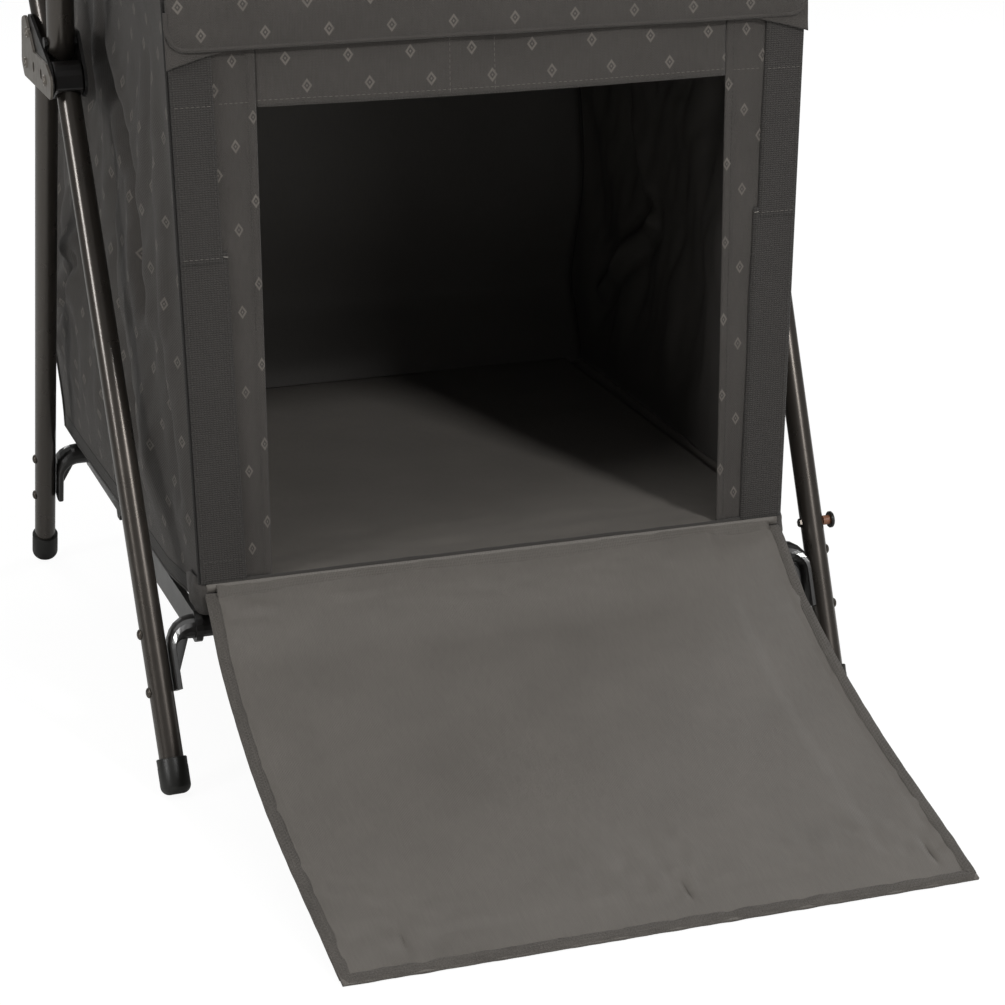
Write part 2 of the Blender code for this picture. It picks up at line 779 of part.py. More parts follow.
def hull_outline(circles, steps=ARC_STEPS * 4):
    """The outline of a band pulled tight round circles of (y, z, radius)."""
    points = []
    for y, z, radius in circles:
        for step in range(steps):
            angle = 2 * math.pi * step / steps
            points.append((y + radius * math.cos(angle), z + radius * math.sin(angle)))
    points.sort()

    def chain(ordered):
        kept = []
        for point in ordered:
            while len(kept) > 1 and turn_of(kept[-2], kept[-1], point) <= 0:
                kept.pop()
            kept.append(point)
        return kept

    lower = chain(points)
    upper = chain(reversed(points))
    return lower[:-1] + upper[:-1]


def turn_of(first, second, third):
    """Twice the signed area of a triangle."""
    return (second[0] - first[0]) * (third[1] - first[1]) - (second[1] - first[1]) * (third[0] - first[0])


def make_hub(body, side_name):
    """The black hub moulding: two cheeks, a web between them and four pins."""
    side = SIDES[side_name]
    leg_circles = [(end * LEG_PIVOT_Y, LEG_PIVOT_Z, HUB_CHEEK_R) for end in ENDS.values()]
    upper_circles = [(end * UPPER_PIVOT_Y, UPPER_PIVOT_Z, HUB_UPPER_R) for end in ENDS.values()]
    inner_outline = hull_outline(leg_circles + upper_circles)
    rear_upper = (UPPER_PIVOT_Y, UPPER_PIVOT_Z, HUB_CHEEK_R)
    front_corner = (-LEG_PIVOT_Y / 2, LEG_PIVOT_Z + HUB_FRONT_LIP - HUB_CHEEK_R / 2, HUB_CHEEK_R / 2)
    outer_outline = hull_outline(leg_circles + [rear_upper, front_corner])

    def span(first, second):
        return sorted((side * first, side * second))

    low, high = span(CHEEK_IN_X - CHEEK_T, CHEEK_IN_X)
    hub = body.add(f"hub_body_{side_name}", prism(inner_outline, low, high, side_place), black_plastic())
    low, high = span(CHEEK_OUT_X, CHEEK_OUT_X + CHEEK_T)
    parts = [("outer_cheek", prism(outer_outline, low, high, side_place))]
    low, high = span(CHEEK_IN_X - CHEEK_T / 2, CHEEK_OUT_X + CHEEK_T / 2)
    web_low = LEG_PIVOT_Z - HUB_WEB_LOW + HUB_CHEEK_R / 2
    web = block((low, -HUB_WEB_HALF_Y, web_low), (high, HUB_WEB_HALF_Y, LEG_PIVOT_Z + HUB_WEB_HIGH / 2))
    parts.append(("web", web))
    for end_name, end in ENDS.items():
        parts.append((f"leg_pin_{end_name}", rod_x(low, high, end * LEG_PIVOT_Y, LEG_PIVOT_Z, PIN_D / 2)))
        pin = rod_x(low, high, end * UPPER_PIVOT_Y, UPPER_PIVOT_Z, PIN_D / 2)
        parts.append((f"upper_pin_{end_name}", pin))
    head_low, head_high = span(CHEEK_OUT_X, CHEEK_OUT_X + PIN_HEAD_T)
    head = rod_x(head_low, head_high, -UPPER_PIVOT_Y, UPPER_PIVOT_Z, PIN_HEAD_D / 2)
    parts.append(("front_pin_head", head))
    for part_name, work in parts:
        combine(hub, body.add(f"{part_name}_{side_name}", work, helper=True), "UNION")


def make_plate(body, side_name):
    """The pressed steel plate on the outside of the hub, with its five holes."""
    side = SIDES[side_name]
    base = LEG_PIVOT_Z - PLATE_BELOW_PIVOT
    corners = [
        (share_y * PLATE_HALF_LENGTH, base + share_z * PLATE_RISE)
        for share_y, share_z in PLATE_OUTLINE_SHARES
    ]
    near = CHEEK_OUT_X + CHEEK_T + GAP
    low, high = sorted((side * near, side * (near + PLATE_T)))
    outline = rounded(corners, PLATE_CORNER_R, ARC_STEPS // 2)
    plate = body.add(f"hub_plate_{side_name}", prism(outline, low, high, side_place), hub_steel())
    holes = [(end * LEG_PIVOT_Y, LEG_PIVOT_Z) for end in ENDS.values()]
    holes.append((UPPER_PIVOT_Y, UPPER_PIVOT_Z))
    for share in PLATE_HOLE_Y_SHARES:
        holes.append((share * PLATE_HALF_LENGTH, LEG_PIVOT_Z + PLATE_HOLE_RISE))
    for index, (y, z) in enumerate(holes):
        work = rod_x(low - OVERRUN / 2, high + OVERRUN / 2, y, z, PLATE_HOLE_D / 2)
        combine(plate, body.add(f"plate_hole_{side_name}_{index}", work, helper=True), "DIFFERENCE")


def stretcher_outline(end, tab):
    """Outline in the side plane: an eye round the bar, a flat bar and a lapped round end."""
    bar = Vector((end * BASE_BAR_Y, BASE_BAR_Z))
    half = STRETCHER_H / 2
    eye = BAR_D / 2 + GAP + STRETCHER_EYE_WALL
    inward = -end
    eye_start = math.asin(half / eye)
    outline = []
    steps = 2 * ARC_STEPS
    for step in range(steps + 1):
        angle = eye_start + (2 * math.pi - 2 * eye_start) * step / steps
        outline.append((bar.x + inward * eye * math.cos(angle), bar.y + eye * math.sin(angle)))
    if tab:
        tab_in = end * STRETCHER_TAB_Y_SHARE * BASE_BAR_Y
        tab_out = tab_in + end * STRETCHER_TAB_W
        ordered = sorted((tab_in, tab_out), key=lambda y: inward * y)
        low = BASE_BAR_Z - half
        chamfer = inward * STRETCHER_TAB_DROP / 2
        outline.append((ordered[0], low))
        outline.append((ordered[0] + chamfer, low - STRETCHER_TAB_DROP))
        outline.append((ordered[1] - chamfer, low - STRETCHER_TAB_DROP))
        outline.append((ordered[1], low))
    reach = inward * (STRETCHER_LAP - half)
    for step in range(steps + 1):
        angle = -math.pi / 2 + math.pi * step / steps
        outline.append((reach + inward * half * math.cos(angle), BASE_BAR_Z + half * math.sin(angle)))
    return outline


def make_stretcher(body, side_name, end_name):
    """One half of the folding side stretcher, hinged on its base bar."""
    side, end = SIDES[side_name], ENDS[end_name]
    layer = 1 if end_name == "front" else 0
    near = STRETCHER_INNER_X + layer * (STRETCHER_T + GAP)
    low, high = sorted((side * near, side * (near + STRETCHER_T)))
    outline = stretcher_outline(end, end_name == "rear")
    name = f"stretcher_{end_name}_{side_name}"
    stretcher = body.add(name, prism(outline, low, high, side_place), bar_paint())
    bar_y = end * BASE_BAR_Y
    work = rod_x(low - OVERRUN, high + OVERRUN, bar_y, BASE_BAR_Z, BAR_D / 2 + GAP, TUBE_SEGMENTS)
    combine(stretcher, body.add(f"eye_{name}", work, helper=True), "DIFFERENCE")


def cabinet_half(height):
    """Half of the cabinet's outer width at a height."""
    share = (height - FLOOR_Z) / (CAB_TOP_Z - FLOOR_Z)
    return CAB_HALF_BOTTOM + (CAB_HALF_TOP - CAB_HALF_BOTTOM) * share


def back_line(height):
    """Where the back wall's inner face stands at a height, with its soft bulge."""
    offset = (height - BACK_BULGE_Z) / BACK_BULGE_REACH
    return CAB_BACK_Y + BACK_BULGE * math.exp(-offset * offset / 2) * bulge_fade(height)


def bulge_fade(height):
    """Hold the bulge to nothing at the floor panel."""
    top = FLOOR_Z + FLOOR_T
    return max(0.0, min(1.0, (height - top) / (BACK_BULGE_Z - top)))


def side_fold(along, height):
    """How far the side wall stands out: vertical folds that die at the floor, shelf and top."""
    levels = (FLOOR_Z, SHELF_TOP_Z, CAB_TOP_Z)
    distance = min(abs(height - level) for level in levels)
    fade = min(1.0, distance / FOLD_PITCH)
    fade = fade * fade * (3 - 2 * fade)
    ends = min(1.0, along / FOLD_PITCH)
    wave = math.sin(2 * math.pi * along / FOLD_PITCH + FOLD_DRIFT * math.sin(height / FOLD_PITCH))
    lift = (1 + wave) / 2
    flare = HEM_FLARE if height < FLOOR_Z else 0
    return FOLD_DEPTH * fade * ends * lift + flare


def cloth(columns, rows, outer_point, inner_point):
    """A closed slab between two grids of points."""
    work = bmesh.new()
    grids = []
    for function in (outer_point, inner_point):
        grid = []
        for v in range(rows + 1):
            points = [function(u / columns, v / rows) for u in range(columns + 1)]
            grid.append([work.verts.new(point) for point in points])
        grids.append(grid)
    for grid in grids:
        for v in range(rows):
            for u in range(columns):
                work.faces.new((grid[v][u], grid[v][u + 1], grid[v + 1][u + 1], grid[v + 1][u]))
    border = [(0, u) for u in range(columns)]
    border += [(v, columns) for v in range(rows)]
    border += [(rows, u) for u in range(columns, 0, -1)]
    border += [(v, 0) for v in range(rows, 0, -1)]
    for index, (v, u) in enumerate(border):
        next_v, next_u = border[(index + 1) % len(border)]
        first, second = grids
        work.faces.new((first[v][u], first[next_v][next_u], second[next_v][next_u], second[v][u]))
    return work


def make_side_wall(body, side_name):
    """A hanging fabric side with its soft folds and its hem below the floor."""
    side = SIDES[side_name]

    def point(u, v, inset):
        height = CAB_HEM_Z + (CAB_TOP_Z - CAB_HEM_Z) * v
        depth = CAB_FRONT_Y + back_line(height) - GAP
        along = depth * u
        half = cabinet_half(height) + side_fold(along, height) - inset
        return Vector((side * half, -CAB_FRONT_Y + along, height))

    work = cloth(
        CLOTH_COLUMNS,
        CLOTH_ROWS,
        lambda u, v: point(u, v, 0),
        lambda u, v: point(u, v, FABRIC_T),
    )
    body.add(f"side_wall_{side_name}", work, shell_fabric())


def make_back_wall(body):
    """The fabric back, bulging softly just above the floor."""

    def point(u, v, out):
        height = CAB_HEM_Z + (CAB_TOP_Z - CAB_HEM_Z) * v
        half = cabinet_half(height)
        across = -half + 2 * half * u
        rows = back_line(height) + out
        return Vector((across, rows, height))

    columns = CLOTH_COLUMNS // 2
    work = cloth(columns, CLOTH_ROWS, lambda u, v: point(u, v, BACK_WALL_T), lambda u, v: point(u, v, 0))
    body.add("back_wall", work, shell_fabric())


def make_floor(body):
    """The stiffened floor panel, stepped down at the front for the stiles to stand on."""
    half = CAB_HALF_BOTTOM - FABRIC_T - GAP
    top = FLOOR_Z + FLOOR_T
    outline = [
        (CAB_BACK_Y - GAP, FLOOR_Z),
        (CAB_BACK_Y - GAP, top),
        (-CAB_FRONT_Y, top),
        (-CAB_FRONT_Y, top - FLOOR_STEP),
        (-WEBBING_FRONT_Y, top - FLOOR_STEP),
        (-WEBBING_FRONT_Y, FLOOR_Z),
    ]
    body.add("floor_panel", prism(outline, -half, half, side_place), lining_fabric())


def make_shelf(body):
    """The board shelf between the two compartments."""
    half = cabinet_half(SHELF_TOP_Z - SHELF_T) - FABRIC_T - GAP
    low = (-half, -CAB_FRONT_Y + SHELF_SET_BACK, SHELF_TOP_Z - SHELF_T)
    work = block(low, (half, CAB_BACK_Y - GAP, SHELF_TOP_Z))
    body.add("mid_shelf", work, shelf_board())


def make_top_panel(body):
    """The fabric roof of the cabinet, under the top bars."""
    half = CAB_HALF_TOP
    bottom = CAB_TOP_Z + GAP
    low = (-half, -CAB_FRONT_Y, bottom)
    body.add("top_panel", block(low, (half, CAB_BACK_Y, bottom + FABRIC_T)), shell_fabric())


def make_loop(body, side_name, end_name):
    """A webbing loop from the cabinet's top round a top bar."""
    side, end = SIDES[side_name], ENDS[end_name]
    bar = upper_point(side, end, TOP_BAR_Z)
    radius = BAR_D / 2 + GAP + LOOP_T
    base = CAB_TOP_Z + GAP + FABRIC_T + GAP
    drop = bar.z - base
    spread = math.acos((radius - LOOP_STEM_T / 2) / drop)
    outline = [(bar.y - LOOP_STEM_T / 2, base), (bar.y + LOOP_STEM_T / 2, base)]
    steps = 4 * ARC_STEPS
    for step in range(steps + 1):
        angle = -math.pi / 2 + spread + (2 * math.pi - 2 * spread) * step / steps
        outline.append((bar.y + radius * math.cos(angle), bar.z + radius * math.sin(angle)))
    low, high = sorted((side * LOOP_X, side * (LOOP_X + LOOP_W)))
    name = f"loop_{end_name}_{side_name}"
    loop = body.add(name, prism(outline, low, high, side_place), webbing_fabric())
    work = rod_x(low - OVERRUN, high + OVERRUN, bar.y, bar.z, BAR_D / 2 + GAP, TUBE_SEGMENTS)
    combine(loop, body.add(f"bore_{name}", work, helper=True), "DIFFERENCE")


def front_slab(body, name, outline, back_y, thickness, finish):
    """A flat piece of the front face, whose back stands at back_y in front of the hub plane."""
    return body.add(name, prism(outline, -back_y - thickness, -back_y, front_place), finish)


def rectangle(left, right, bottom, top):
    return [(left, bottom), (right, bottom), (right, top), (left, top)]


def make_stile(body, side_name):
    """The printed strip beside both openings, from floor to top."""
    side = SIDES[side_name]
    outline = [
        (side * OPENING_HALF, FRONT_LOW_Z),
        (side * cabinet_half(FRONT_LOW_Z), FRONT_LOW_Z),
        (side * cabinet_half(CAB_TOP_Z), CAB_TOP_Z),
        (side * OPENING_HALF, CAB_TOP_Z),
    ]
    front_slab(body, f"stile_{side_name}", outline, CAB_FRONT_Y + GAP, STILE_T, shell_fabric())


def make_webbing(body, side_name):
    """The load webbing stitched down the stile's outer edge."""
    side = SIDES[side_name]
    low, high = cabinet_half(FRONT_LOW_Z), cabinet_half(WEBBING_TOP_Z)
    outline = [
        (side * (low - WEBBING_W), FRONT_LOW_Z),
        (side * low, FRONT_LOW_Z),
        (side * high, WEBBING_TOP_Z),
        (side * (high - WEBBING_W), WEBBING_TOP_Z),
    ]
    name = f"webbing_{side_name}"
    front_slab(body, name, outline, STILE_FRONT_Y + GAP, WEBBING_T, webbing_fabric())


def make_front_strips(body):
    """The strips between the stiles, over the lower and upper openings."""
    half = OPENING_HALF - GAP
    header = rectangle(-half, half, OPENING_TOP_Z, BAND_HIGH_Z)
    front_slab(body, "header_strip", header, CAB_FRONT_Y + GAP, STILE_T, shell_fabric())
    top = rectangle(-half, half, CAB_TOP_Z - TOP_STRIP_H, CAB_TOP_Z)
    front_slab(body, "top_strip", top, CAB_FRONT_Y + GAP, STILE_T, shell_fabric())


def make_band(body):
    """The band across the middle of the front, with its corner flaps."""
    corners = [
        (-BAND_HALF, BAND_CORNER_Z),
        (-BAND_FLAP_IN, BAND_LOW_Z),
        (BAND_FLAP_IN, BAND_LOW_Z),
        (BAND_HALF, BAND_CORNER_Z),
        (BAND_HALF, BAND_HIGH_Z),
        (-BAND_HALF, BAND_HIGH_Z),
    ]
    radius = BAND_CORNER_R
    outline = rounded(corners, (radius / 3, 0, 0, radius / 3, radius, radius), ARC_STEPS // 2)
    front_slab(body, "mid_band", outline, WEBBING_FRONT_Y + GAP, BAND_T, shell_fabric())


def make_lower_door(body):
    """The lower door, let down so that its far edge lies on the ground."""
    half = LOWER_DOOR_HALF
    outline = rounded(
        [(-half, GAP), (half, GAP), (half, LOWER_DOOR_LENGTH), (-half, LOWER_DOOR_LENGTH)],
        (0, 0, DOOR_CORNER_R, DOOR_CORNER_R),
    )
    along = Vector((0, -math.cos(DOOR_DROP), -math.sin(DOOR_DROP)))
    under = Vector((0, math.sin(DOOR_DROP), -math.cos(DOOR_DROP)))
    hinge = Vector((0, -DOOR_AXIS_Y, FLOOR_Z))

    def place(u, v, height):
        return hinge + Vector((u, 0, 0)) + along * v + under * height

    body.add("lower_door", prism(outline, DOOR_GAP, DOOR_OUT, place), lining_fabric())


def make_upper_door(body):
    """The upper door, closed in front of the stiles."""
    half = UPPER_DOOR_HALF
    radii = (0, 0, DOOR_CORNER_R, DOOR_CORNER_R)
    bottom = UPPER_DOOR_AXIS_Z + GAP
    outline = rounded(rectangle(-half, half, bottom, UPPER_DOOR_TOP_Z), radii)
    front_slab(body, "upper_door", outline, STILE_FRONT_Y + GAP, DOOR_T, shell_fabric())


def make_saddle(body, side_name, end_name):
    """A moulded clip on a top bar, whose flat top carries the worktop."""
    side, end = SIDES[side_name], ENDS[end_name]
    bar = upper_point(side, end, TOP_BAR_Z)
    inner = BAR_D / 2 + GAP
    outer = inner + SADDLE_T
    mouth = math.radians(SADDLE_MOUTH_DEG) / 2
    outline = []
    steps = 3 * ARC_STEPS
    for step in range(steps + 1):
        angle = -math.pi / 2 + mouth + (2 * math.pi - 2 * mouth) * step / steps
        outline.append((bar.y + inner * math.cos(angle), bar.z + inner * math.sin(angle)))
    top = bar.z + outer
    shoulder = top - SADDLE_T
    turn = math.asin(inner / outer)
    start = 3 * math.pi / 2 - mouth
    stop = math.pi - turn
    for step in range(ARC_STEPS + 1):
        angle = start + (stop - start) * step / ARC_STEPS
        outline.append((bar.y + outer * math.cos(angle), bar.z + outer * math.sin(angle)))
    outline.append((bar.y - SADDLE_HALF, shoulder))
    outline.append((bar.y - SADDLE_HALF, top))
    outline.append((bar.y + SADDLE_HALF, top))
    outline.append((bar.y + SADDLE_HALF, shoulder))
    for step in range(ARC_STEPS + 1):
        angle = turn - (turn + math.pi / 2 - mouth) * step / ARC_STEPS
        outline.append((bar.y + outer * math.cos(angle), bar.z + outer * math.sin(angle)))
    low, high = sorted((side * SADDLE_X, side * (SADDLE_X + SADDLE_W)))
    name = f"saddle_{end_name}_{side_name}"
    body.add(name, prism(outline, low, high, side_place), black_plastic())


def make_worktop(body):
    """The worktop board and the aluminium angle round its edge."""
    half_x, half_y = WORKTOP_HALF_X, WORKTOP_HALF_Y
    inset = EDGE_T + GAP
    low = (-half_x + inset, -half_y + inset, WORKTOP_Z + inset)
    high = (half_x - inset, half_y - inset, WORKTOP_Z + WORKTOP_T)
    body.add("worktop_panel", block(low, high), worktop_laminate())
    section = [
        (0, 0),
        (EDGE_LIP, 0),
        (EDGE_LIP, EDGE_T),
        (EDGE_T, EDGE_T),
        (EDGE_T, WORKTOP_T),
        (0, WORKTOP_T),
    ]
    rings = []
    for x_sign, y_sign in ((-1, -1), (1, -1), (1, 1), (-1, 1)):
        ring = []
        for depth, height in section:
            x = x_sign * (half_x - depth)
            y = y_sign * (half_y - depth)
            ring.append(Vector((x, y, WORKTOP_Z + height)))
        rings.append(ring)
    body.add("worktop_edge", loft(rings, closed=True), edge_aluminium())


def build():
    """Build every body and its pieces."""
    clear_scene()
    hubs = Body("hubs_body", (0, 0, 0))
    cabinet = Body("cabinet_body", (0, 0, 0), hubs)
    for side_name in SIDES:
        make_side_wall(cabinet, side_name)
        make_hub(hubs, side_name)
        make_plate(hubs, side_name)
    make_floor(cabinet)
    make_shelf(cabinet)
    make_top_panel(cabinet)
    for end_name, end in ENDS.items():
        legs = Body(f"legs_{end_name}_body", (0, end * LEG_PIVOT_Y, LEG_PIVOT_Z), hubs)
        uppers = Body(f"uprights_{end_name}_body", (0, end * UPPER_PIVOT_Y, UPPER_PIVOT_Z), hubs)
        stretchers = Body(f"stretchers_{end_name}_body", (0, end * BASE_BAR_Y, BASE_BAR_Z), legs)
        for side_name in SIDES:
            make_leg(legs, side_name, end_name)
            make_boot(legs, side_name, end_name)
            make_foot(legs, side_name, end_name)
            make_stretcher(stretchers, side_name, end_name)
            make_upper(uppers, side_name, end_name)
            make_plug(uppers, side_name, end_name)
            make_saddle(uppers, side_name, end_name)
            make_loop(uppers, side_name, end_name)
        drop = BASE_BAR_END_DROP
        make_bar(legs, f"base_bar_{end_name}", leg_point, leg_direction, BASE_BAR_Z, drop, LEG_D, end)
        drop = TOP_BAR_END_DROP
        name = f"top_bar_{end_name}"
        make_bar(uppers, name, upper_point, upper_direction, TOP_BAR_Z, drop, UPPER_D, end)
        if end_name == "front":
            make_stud(legs)
    face = Body("front_face_body", (0, -CAB_FRONT_Y, FLOOR_Z), cabinet)
    for side_name in SIDES:
        make_stile(face, side_name)
        make_webbing(face, side_name)
    make_front_strips(face)
    make_band(face)
    make_lower_door(Body("lower_door_body", (0, -DOOR_AXIS_Y, FLOOR_Z), face))
    make_upper_door(Body("upper_door_body", (0, -UPPER_DOOR_AXIS_Y, UPPER_DOOR_AXIS_Z), face))
    make_back_wall(Body("back_face_body", (0, CAB_BACK_Y, FLOOR_Z), cabinet))
    make_worktop(Body("worktop_body", (0, 0, WORKTOP_Z), hubs))


build()
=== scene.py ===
"""Looks of the folding fabric camp kitchen cupboard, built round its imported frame.

Metres, +Z up, +X the cupboard's right side, +Y its back. Cloth is cut flat in metres and its UV map keeps
those metres, so that weave and motif follow every fold of the cloth.
"""

from __future__ import annotations

import logging
import math
from dataclasses import dataclass, field
from enum import Enum
from typing import Any, Callable, Sequence

import bmesh
import bpy
from mathutils import Matrix, Vector, noise


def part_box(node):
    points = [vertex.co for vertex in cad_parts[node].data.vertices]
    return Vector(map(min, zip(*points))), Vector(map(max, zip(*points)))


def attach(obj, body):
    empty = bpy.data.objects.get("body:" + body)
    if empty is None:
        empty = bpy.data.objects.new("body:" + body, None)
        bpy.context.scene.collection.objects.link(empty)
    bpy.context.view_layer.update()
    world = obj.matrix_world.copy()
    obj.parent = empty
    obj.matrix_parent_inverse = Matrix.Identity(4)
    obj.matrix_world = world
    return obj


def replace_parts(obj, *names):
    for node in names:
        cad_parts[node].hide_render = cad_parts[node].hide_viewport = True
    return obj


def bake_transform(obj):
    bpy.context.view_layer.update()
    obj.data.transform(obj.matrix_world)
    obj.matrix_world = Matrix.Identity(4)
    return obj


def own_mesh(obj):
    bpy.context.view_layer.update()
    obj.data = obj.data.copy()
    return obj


LOG = logging.getLogger("cupboard")
MM = 0.001
# The plane that the frame folds towards.
HUB_Y = 0.163365
CLOTH_UV = "cloth"
SHARP_ANGLE = math.radians(40)
FORWARD = Vector((0, -1, 0))
BACKWARD = Vector((0, 1, 0))
UPWARD = Vector((0, 0, 1))

Tree = bpy.types.NodeTree
Node = bpy.types.Node
Socket = bpy.types.NodeSocket
Piece = bpy.types.Object
Work = bmesh.types.BMesh
Pair = tuple[float, float]
Triple = tuple[float, float, float]
Surface = Callable[[float, float], Vector]


class Direction(Enum):
    """A side or an end of the cupboard, with its sign along its axis."""

    @property
    def label(self) -> str:
        """The name as it stands in node names."""
        return self.name.lower()


class Side(Direction):
    """The cupboard's two sides, with their direction along X."""

    LEFT = -1
    RIGHT = 1


class End(Direction):
    """The cupboard's front and rear, with their direction along Y."""

    FRONT = -1
    REAR = 1


def linear(hex_colour: str) -> tuple[float, float, float, float]:
    """Turn an sRGB hex colour into linear RGBA.

    Args:
        hex_colour: The colour as six hex digits after a hash sign.

    Returns:
        Red, green, blue and alpha for a shader socket.
    """
    value = int(hex_colour.lstrip("#"), 16)
    channels = []
    for shift in (16, 8, 0):
        part = ((value >> shift) & 255) / 255
        channels.append(part / 12.92 if part <= 0.04045 else ((part + 0.055) / 1.055) ** 2.4)
    return (channels[0], channels[1], channels[2], 1.0)


def add_node(
    tree: Tree,
    kind: str,
    settings: dict[str | int, Any] | None = None,
    links: dict[str | int, Socket] | None = None,
) -> Node:
    """Add a shader node with its settings and links.

    Args:
        tree: The node tree that gets the node.
        kind: The node's Blender type.
        settings: Values by input name, input number or attribute name.
        links: Output sockets by the input that each one feeds.

    Returns:
        The new node.
    """
    node = tree.nodes.new(kind)
    for key, value in (settings or {}).items():
        if isinstance(key, int) or key in node.inputs:
            node.inputs[key].default_value = value
        else:
            setattr(node, key, value)
    for key, socket in (links or {}).items():
        tree.links.new(socket, node.inputs[key])
    return node


def math_node(tree: Tree, operation: str, *values: float | Socket) -> Socket:
    """Add a Math node over numbers and sockets.

    Args:
        tree: The node tree that gets the node.
        operation: The Math node's operation.
        values: Its inputs in order, each a number or a socket.

    Returns:
        The node's output socket.
    """
    settings: dict[str | int, Any] = {"operation": operation}
    links: dict[str | int, Socket] = {}
    for index, value in enumerate(values):
        (links if isinstance(value, Socket) else settings)[index] = value
    return add_node(tree, "ShaderNodeMath", settings, links).outputs[0]


@dataclass(frozen=True)
class Finish:
    """A surface finish: its name, its base colour and how it takes light."""

    name: str
    colour: str
    roughness: float
    metallic: float = 0.0

    def material(self) -> bpy.types.Material:
        """Make the material once, and give the same one afterwards.

        Returns:
            The finish's material.
        """
        found = bpy.data.materials.get(self.name)
        if found:
            return found
        made = bpy.data.materials.new(self.name)
        made.use_nodes = True
        tree = made.node_tree
        shader = tree.nodes["Principled BSDF"]
        shader.inputs["Base Color"].default_value = linear(self.colour)
        shader.inputs["Roughness"].default_value = self.roughness
        shader.inputs["Metallic"].default_value = self.metallic
        self.detail(tree, shader)
        return made

    def detail(self, tree: Tree, shader: Node) -> None:
        """Add the finish's own pattern and relief."""

    def place(self, tree: Tree) -> Socket:
        """Give the socket of the surface's own metres."""
        return add_node(tree, "ShaderNodeTexCoord").outputs["Object"]

    def grain(self, tree: Tree, at: Socket, size: float, detail: float = 3.0) -> Socket:
        """Give smooth noise whose features have about one size.

        Args:
            tree: The material's node tree.
            at: The socket that places the noise, in metres.
            size: The size of a feature in metres.
            detail: How many finer octaves are added.

        Returns:
            The noise value's socket.
        """
        settings = {"Scale": 1 / size, "Detail": detail, "Roughness": 0.5}
        return add_node(tree, "ShaderNodeTexNoise", settings, {"Vector": at}).outputs["Fac"]

    def tint(self, tree: Tree, shader: Node, factor: Socket, low: str | Socket, high: str | Socket) -> Socket:
        """Colour the surface between two tones by a factor.

        Args:
            tree: The material's node tree.
            shader: The shader that takes the colour.
            factor: The mixing value from 0 to 1.
            low: The tone at 0, a hex colour or a socket.
            high: The tone at 1, likewise.

        Returns:
            The mixed colour's socket.
        """
        settings: dict[str | int, Any] = {"data_type": "RGBA"}
        links: dict[str | int, Socket] = {0: factor}
        for slot, tone in ((6, low), (7, high)):
            if isinstance(tone, str):
                settings[slot] = linear(tone)
            else:
                links[slot] = tone
        mixed = add_node(tree, "ShaderNodeMix", settings, links).outputs[2]
        tree.links.new(mixed, shader.inputs["Base Color"])
        return mixed

    def spread(self, tree: Tree, factor: Socket, low: float, high: float) -> Socket:
        """Map a value from 0 to 1 to a range."""
        settings = {"To Min": low, "To Max": high}
        return add_node(tree, "ShaderNodeMapRange", settings, {"Value": factor}).outputs[0]

    def relief(
        self, tree: Tree, height: Socket, depth: float, shader: Node, under: Socket | None = None
    ) -> Socket:
        """Raise the surface by a height value.

        Args:
            tree: The material's node tree.
            height: The height from 0 to 1.
            depth: The real depth of the relief in metres.
            shader: The shader that takes the bent normal.
            under: The normal of a coarser relief below this one.

        Returns:
            The bent normal's socket.
        """
        links = {"Height": height}
        if under is not None:
            links["Normal"] = under
        bent = add_node(tree, "ShaderNodeBump", {"Distance": depth, "Strength": 1.0}, links).outputs[0]
        tree.links.new(bent, shader.inputs["Normal"])
        return bent


@dataclass(frozen=True)
class Mottled(Finish):
    """A hard finish: clouds that shift its tone and its gloss, over a fine grain.

    The tones stand at the clouds' low and high ends, where an empty one is the base colour. The gloss is
    what is added to the roughness at those ends.
    """

    tones: tuple[str, str] = ("", "")
    reach: float = 1.0
    gloss: Pair | None = None
    cloud: float = 12 * MM
    cloud_detail: float = 4.0
    grit: float = 0.8 * MM
    grit_detail: float = 2.0
    grit_depth: float = 0.02 * MM

    def detail(self, tree: Tree, shader: Node) -> None:
        """Add the clouds and the grain.

        Args:
            tree: The material's node tree.
            shader: The material's shader.
        """
        at = self.place(tree)
        cloud = self.grain(tree, at, self.cloud, self.cloud_detail)
        low, high = (tone or self.colour for tone in self.tones)
        self.tint(tree, shader, self.spread(tree, cloud, 0.0, self.reach), low, high)
        if self.gloss:
            low_gloss, high_gloss = (self.roughness + part for part in self.gloss)
            tree.links.new(self.spread(tree, cloud, low_gloss, high_gloss), shader.inputs["Roughness"])
        self.relief(tree, self.grain(tree, at, self.grit, self.grit_detail), self.grit_depth, shader)


@dataclass(frozen=True)
class PowderCoat(Mottled):
    """Powder coat baked on steel tube: an even gloss over a faint orange peel, with handling marks."""

    reach: float = 0.45
    gloss: Pair | None = (-0.04, 0.08)
    cloud: float = 14 * MM
    cloud_detail: float = 5.0
    grit: float = 2.2 * MM
    grit_detail: float = 1.0
    grit_depth: float = 0.002 * MM

    def detail(self, tree: Tree, shader: Node) -> None:
        """Add the clear top layer to the marks and the peel.

        Args:
            tree: The material's node tree.
            shader: The material's shader.
        """
        super().detail(tree, shader)
        shader.inputs["Coat Weight"].default_value = 0.5
        shader.inputs["Coat Roughness"].default_value = 0.09


@dataclass(frozen=True)
class PressedZincSteel(Mottled):
    """Zinc-plated pressed steel: bright, with a fine rolled grain and dulled patches."""

    tones: tuple[str, str] = ("#6f6962", "")
    gloss: Pair | None = (0.13, -0.07)
    cloud: float = 9 * MM
    grit: float = 0.9 * MM


